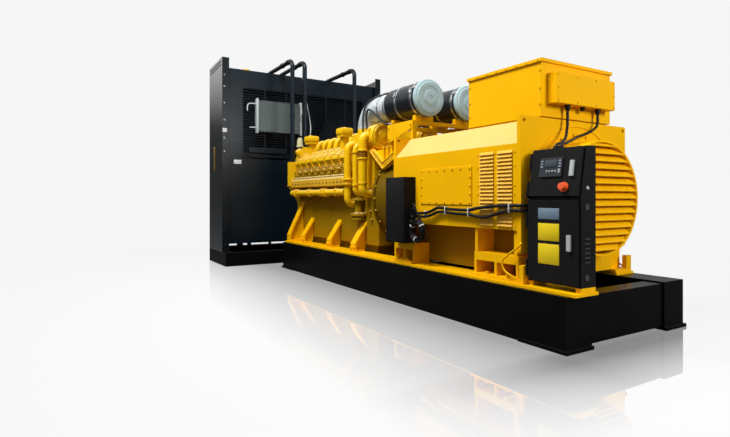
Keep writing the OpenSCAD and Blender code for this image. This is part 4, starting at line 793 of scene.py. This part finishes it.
# Radiator: a free-standing finned core between folded side plates, with tanks above and below, a fan behind
# a wire guard, a small oil cooler hung in front of it, and steel pipes over the top. Dark blue-grey paint.
radiator_grey = paint("radiator_grey", colour("0c1820"), 0.30, tone=0.2, peel=0.05, shine=0.22)
side_gloss = paint("side_gloss", colour("0a1319"), 0.30, tone=0.2, peel=0.05, shine=0.2, coat=1.0)
# The fan is painted near black: painted shade for the dark inside of the shroud.
fan_shade_black = paint("fan_shade_black", colour("101312"), 0.5, tone=0.2, shine=0.1)
cover(side_gloss, "radiator_sides")
cover(radiator_grey, "radiator_tanks", "fan_shroud", "fan_guard", "fan_beam", "coolant_pipes")
cover(fan_shade_black, "radiator_fan")
cap_brass = paint("cap_brass", colour("d9ad2b"), 0.35)
cover(cap_brass, "radiator_fittings")
fins = bpy.data.materials.new("core_fins")
fins.use_nodes = True
tree = fins.node_tree
tree.nodes.clear()
start = Shade(tree)
place = start.node("ShaderNodeTexCoord", out=3)
rows = start.node("ShaderNodeTexWave", {"bands_direction": "Z"}, {"Vector": place, "Scale": 60.0, "Distortion": 0.3})
tubes = start.node("ShaderNodeTexWave", {"bands_direction": "Y"}, {"Vector": place, "Scale": 9.0})
weave = rows * 0.6 + tubes * 0.4
# The gaps between rows of fins are painted near black as shade in the core's recesses.
gap_shade_tone, fin_tone = (0.004, 0.005, 0.006, 1), (0.03, 0.034, 0.038, 1)
body = start.node("ShaderNodeMix", {"data_type": "RGBA"}, {0: weave, 6: gap_shade_tone, 7: fin_tone}, out=2)
bump = start.node("ShaderNodeBump", None, {"Strength": 0.8, "Distance": 0.004, "Height": weave})
skin = start.node("ShaderNodeBsdfPrincipled", None, {
    "Base Color": body, "Roughness": 0.6, "Normal": bump, "Specular IOR Level": 0.2})
start.node("ShaderNodeOutputMaterial", None, {"Surface": skin})
cover(fins, "radiator_core")


# Radiator bolts and pipe sleeves: bolts go down both flanges, zinc on the upper half, so the row darkens downwards;
# two slanting ribs stiffen the top of each side plate, and rubber sleeves join the lengths of pipe.
# All but the zinc is painted over.
front_x, flange_y = end_x - 5.70, 1.440
pipe_ys = (-0.556, 0.556, -0.345)
bm = bmesh.new()
for side in (-1, 1):
    for z in (0.30, 0.52, 0.75, 1.00, 1.25, 1.50, 1.72):
        bolt(bm, (front_x, side * flange_y, z), (1, 0, 0), 0.020, 0.012)
    low_y, high_y = sorted((side * 1.474, side * 1.481))
    for rise in (0.055, 0.105):
        seat = Matrix.Translation((-2.50, 0, 3.268 - rise)) @ Matrix.Rotation(radians(-2.4), 4, "Y")
        bar(bm, (-0.72, low_y, -0.006), (-0.06, high_y, 0.006), 0.002, seat)
for pipe_y in pipe_ys:
    for turn in range(6):
        a = turn * pi / 3
        spot = (front_x - 0.46 + 0.041 * cos(a), pipe_y + 0.041 * sin(a), 3.082)
        bolt(bm, spot, (0, 0, 1), 0.012, 0.01)
piece("radiator_bolts", bm, radiator_grey)
bm = bmesh.new()
for side in (-1, 1):
    for z in (1.79, 2.00, 2.28, 2.55, 2.81, 2.99):
        bolt(bm, (front_x, side * flange_y, z), (1, 0, 0), 0.020, 0.012)
flange_zinc = metal("flange_zinc", colour("9aa2a8"), 0.4)
piece("flange_screws", bm, flange_zinc)
bm = bmesh.new()
for pipe_y in pipe_ys:
    for x in (-2.06, -2.30):
        lathe(bm, [(0.033, 0), (0.041, 0.002), (0.041, 0.05), (0.033, 0.052)], (x, pipe_y, 3.20), (1, 0, 0), 24)
    lathe(bm, [(0.033, 0), (0.041, 0.002), (0.041, 0.06), (0.033, 0.062)], (end_x - 5.08, pipe_y, 2.30), (0, 0, 1), 24)
piece("pipe_sleeves", bm, radiator_grey)


# Oil cooler: an aluminium plate-and-fin block hung in front of the radiator between two pale end tanks.
# Two bent pipe stubs are brazed to the tank on its left.
cooler_fins = paint("cooler_fins", colour("788482"), 0.5, tone=0.1, shine=0.2)
cover(cooler_fins, "oil_cooler")
tank_pale = paint("tank_pale", colour("b4bbbe"), 0.4)
low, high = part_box("oil_cooler")
bm = bmesh.new()
for y0, y1 in ((low[1] - 0.004, low[1] + 0.026), (high[1] - 0.026, high[1] + 0.004)):
    bar(bm, (high[0] - 0.075, y0, low[2] - 0.02), (high[0] + 0.008, y1, high[2] + 0.02), 0.008)
piece("cooler_tanks", bm, tank_pale)
bm = bmesh.new()
for i in range(46):
    z = low[2] + 0.012 + i * (high[2] - low[2] - 0.024) / 45
    bar(bm, (high[0] - 0.002, low[1] + 0.027, z - 0.0022), (high[0] + 0.004, high[1] - 0.027, z + 0.0022), 0.0008)
piece("cooler_plates", bm, cooler_fins)
stub_x, left = high[0] - 0.03, low[1]
tube("cooler_stubs", [
    [(stub_x, left, high[2] - 0.07), (stub_x, left - 0.09, high[2] - 0.07), (stub_x, left - 0.135, high[2] - 0.085),
     (stub_x, left - 0.15, high[2] - 0.13), (stub_x, left - 0.15, high[2] - 0.19)],
    [(stub_x, left, low[2] + 0.07), (stub_x, left - 0.07, low[2] + 0.07),
     (high[0] - 0.045, left - 0.09, low[2] + 0.07), (high[0] - 0.075, left - 0.095, low[2] + 0.07)]],
    0.010, tank_pale)


# Radiator fittings: thin vent lines hang from the pipe ends, two blank plates and a brass strip are screwed on,
# and a turned brass filler cap with four grips closes the neck on the top tank.
hose_pale = paint("hose_pale", colour("a9adaa"), 0.5)
tube("vent_lines", [
    [(-1.93, -0.345, 3.16), (-1.955, -0.345, 3.06), (-1.985, -0.323, 2.942), (-2.085, -0.252, 2.776),
     (-2.20, -0.215, 2.62), (-2.31, -0.190, 2.48), (-2.385, -0.180, 2.401), (-2.425, -0.165, 2.34),
     (-2.44, -0.155, 2.31)],
    [(-2.085, -0.252, 2.776), (-2.04, -0.240, 2.62), (-1.985, -0.235, 2.47), (-1.90, -0.240, 2.28),
     (-1.845, -0.253, 2.13), (-1.85, -0.27, 1.98), (-1.865, -0.28, 1.86)]], 0.008, hose_pale)
plate_pale = paint("plate_pale", colour("c9cdcc"), 0.5, shine=0.2)
bm = bmesh.new()
bar(bm, (front_x - 0.001, -1.470, 2.09), (front_x + 0.003, -1.400, 2.152), 0.001)
bar(bm, (-2.5495, -1.270, 1.60), (-2.545, -1.150, 1.668), 0.001)
piece("blank_plates", bm, plate_pale)
brass_strip = paint("brass_strip", colour("8a6c22"), 0.4, shine=0.3)
bm = bmesh.new()
bar(bm, (-2.955, -1.484, 1.50), (-2.937, -1.474, 1.895), 0.003)
bar(bm, (-2.972, -1.480, 1.76), (-2.920, -1.474, 1.79), 0.002)
piece("side_strip", bm, brass_strip)
low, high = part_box("radiator_fittings")
middle = [(a + b) / 2 for a, b in zip(low, high)]
bm = bmesh.new()
lathe(bm, [(0.0, 0.115), (0.030, 0.113), (0.038, 0.106), (0.060, 0.104), (0.064, 0.098), (0.064, 0.066), (0.058, 0.060),
           (0.042, 0.058), (0.042, -0.002), (0.0, -0.002)], (middle[0], middle[1], high[2]), (0, 0, 1), 32)
for turn in range(2):
    seat = Matrix.Translation((middle[0], middle[1], high[2] + 0.085)) @ Matrix.Rotation(turn * pi / 2 + 0.4, 4, "Z")
    bar(bm, (-0.074, -0.010, -0.016), (0.074, 0.010, 0.016), 0.004, seat)
piece("filler_cap", bm, cap_brass)
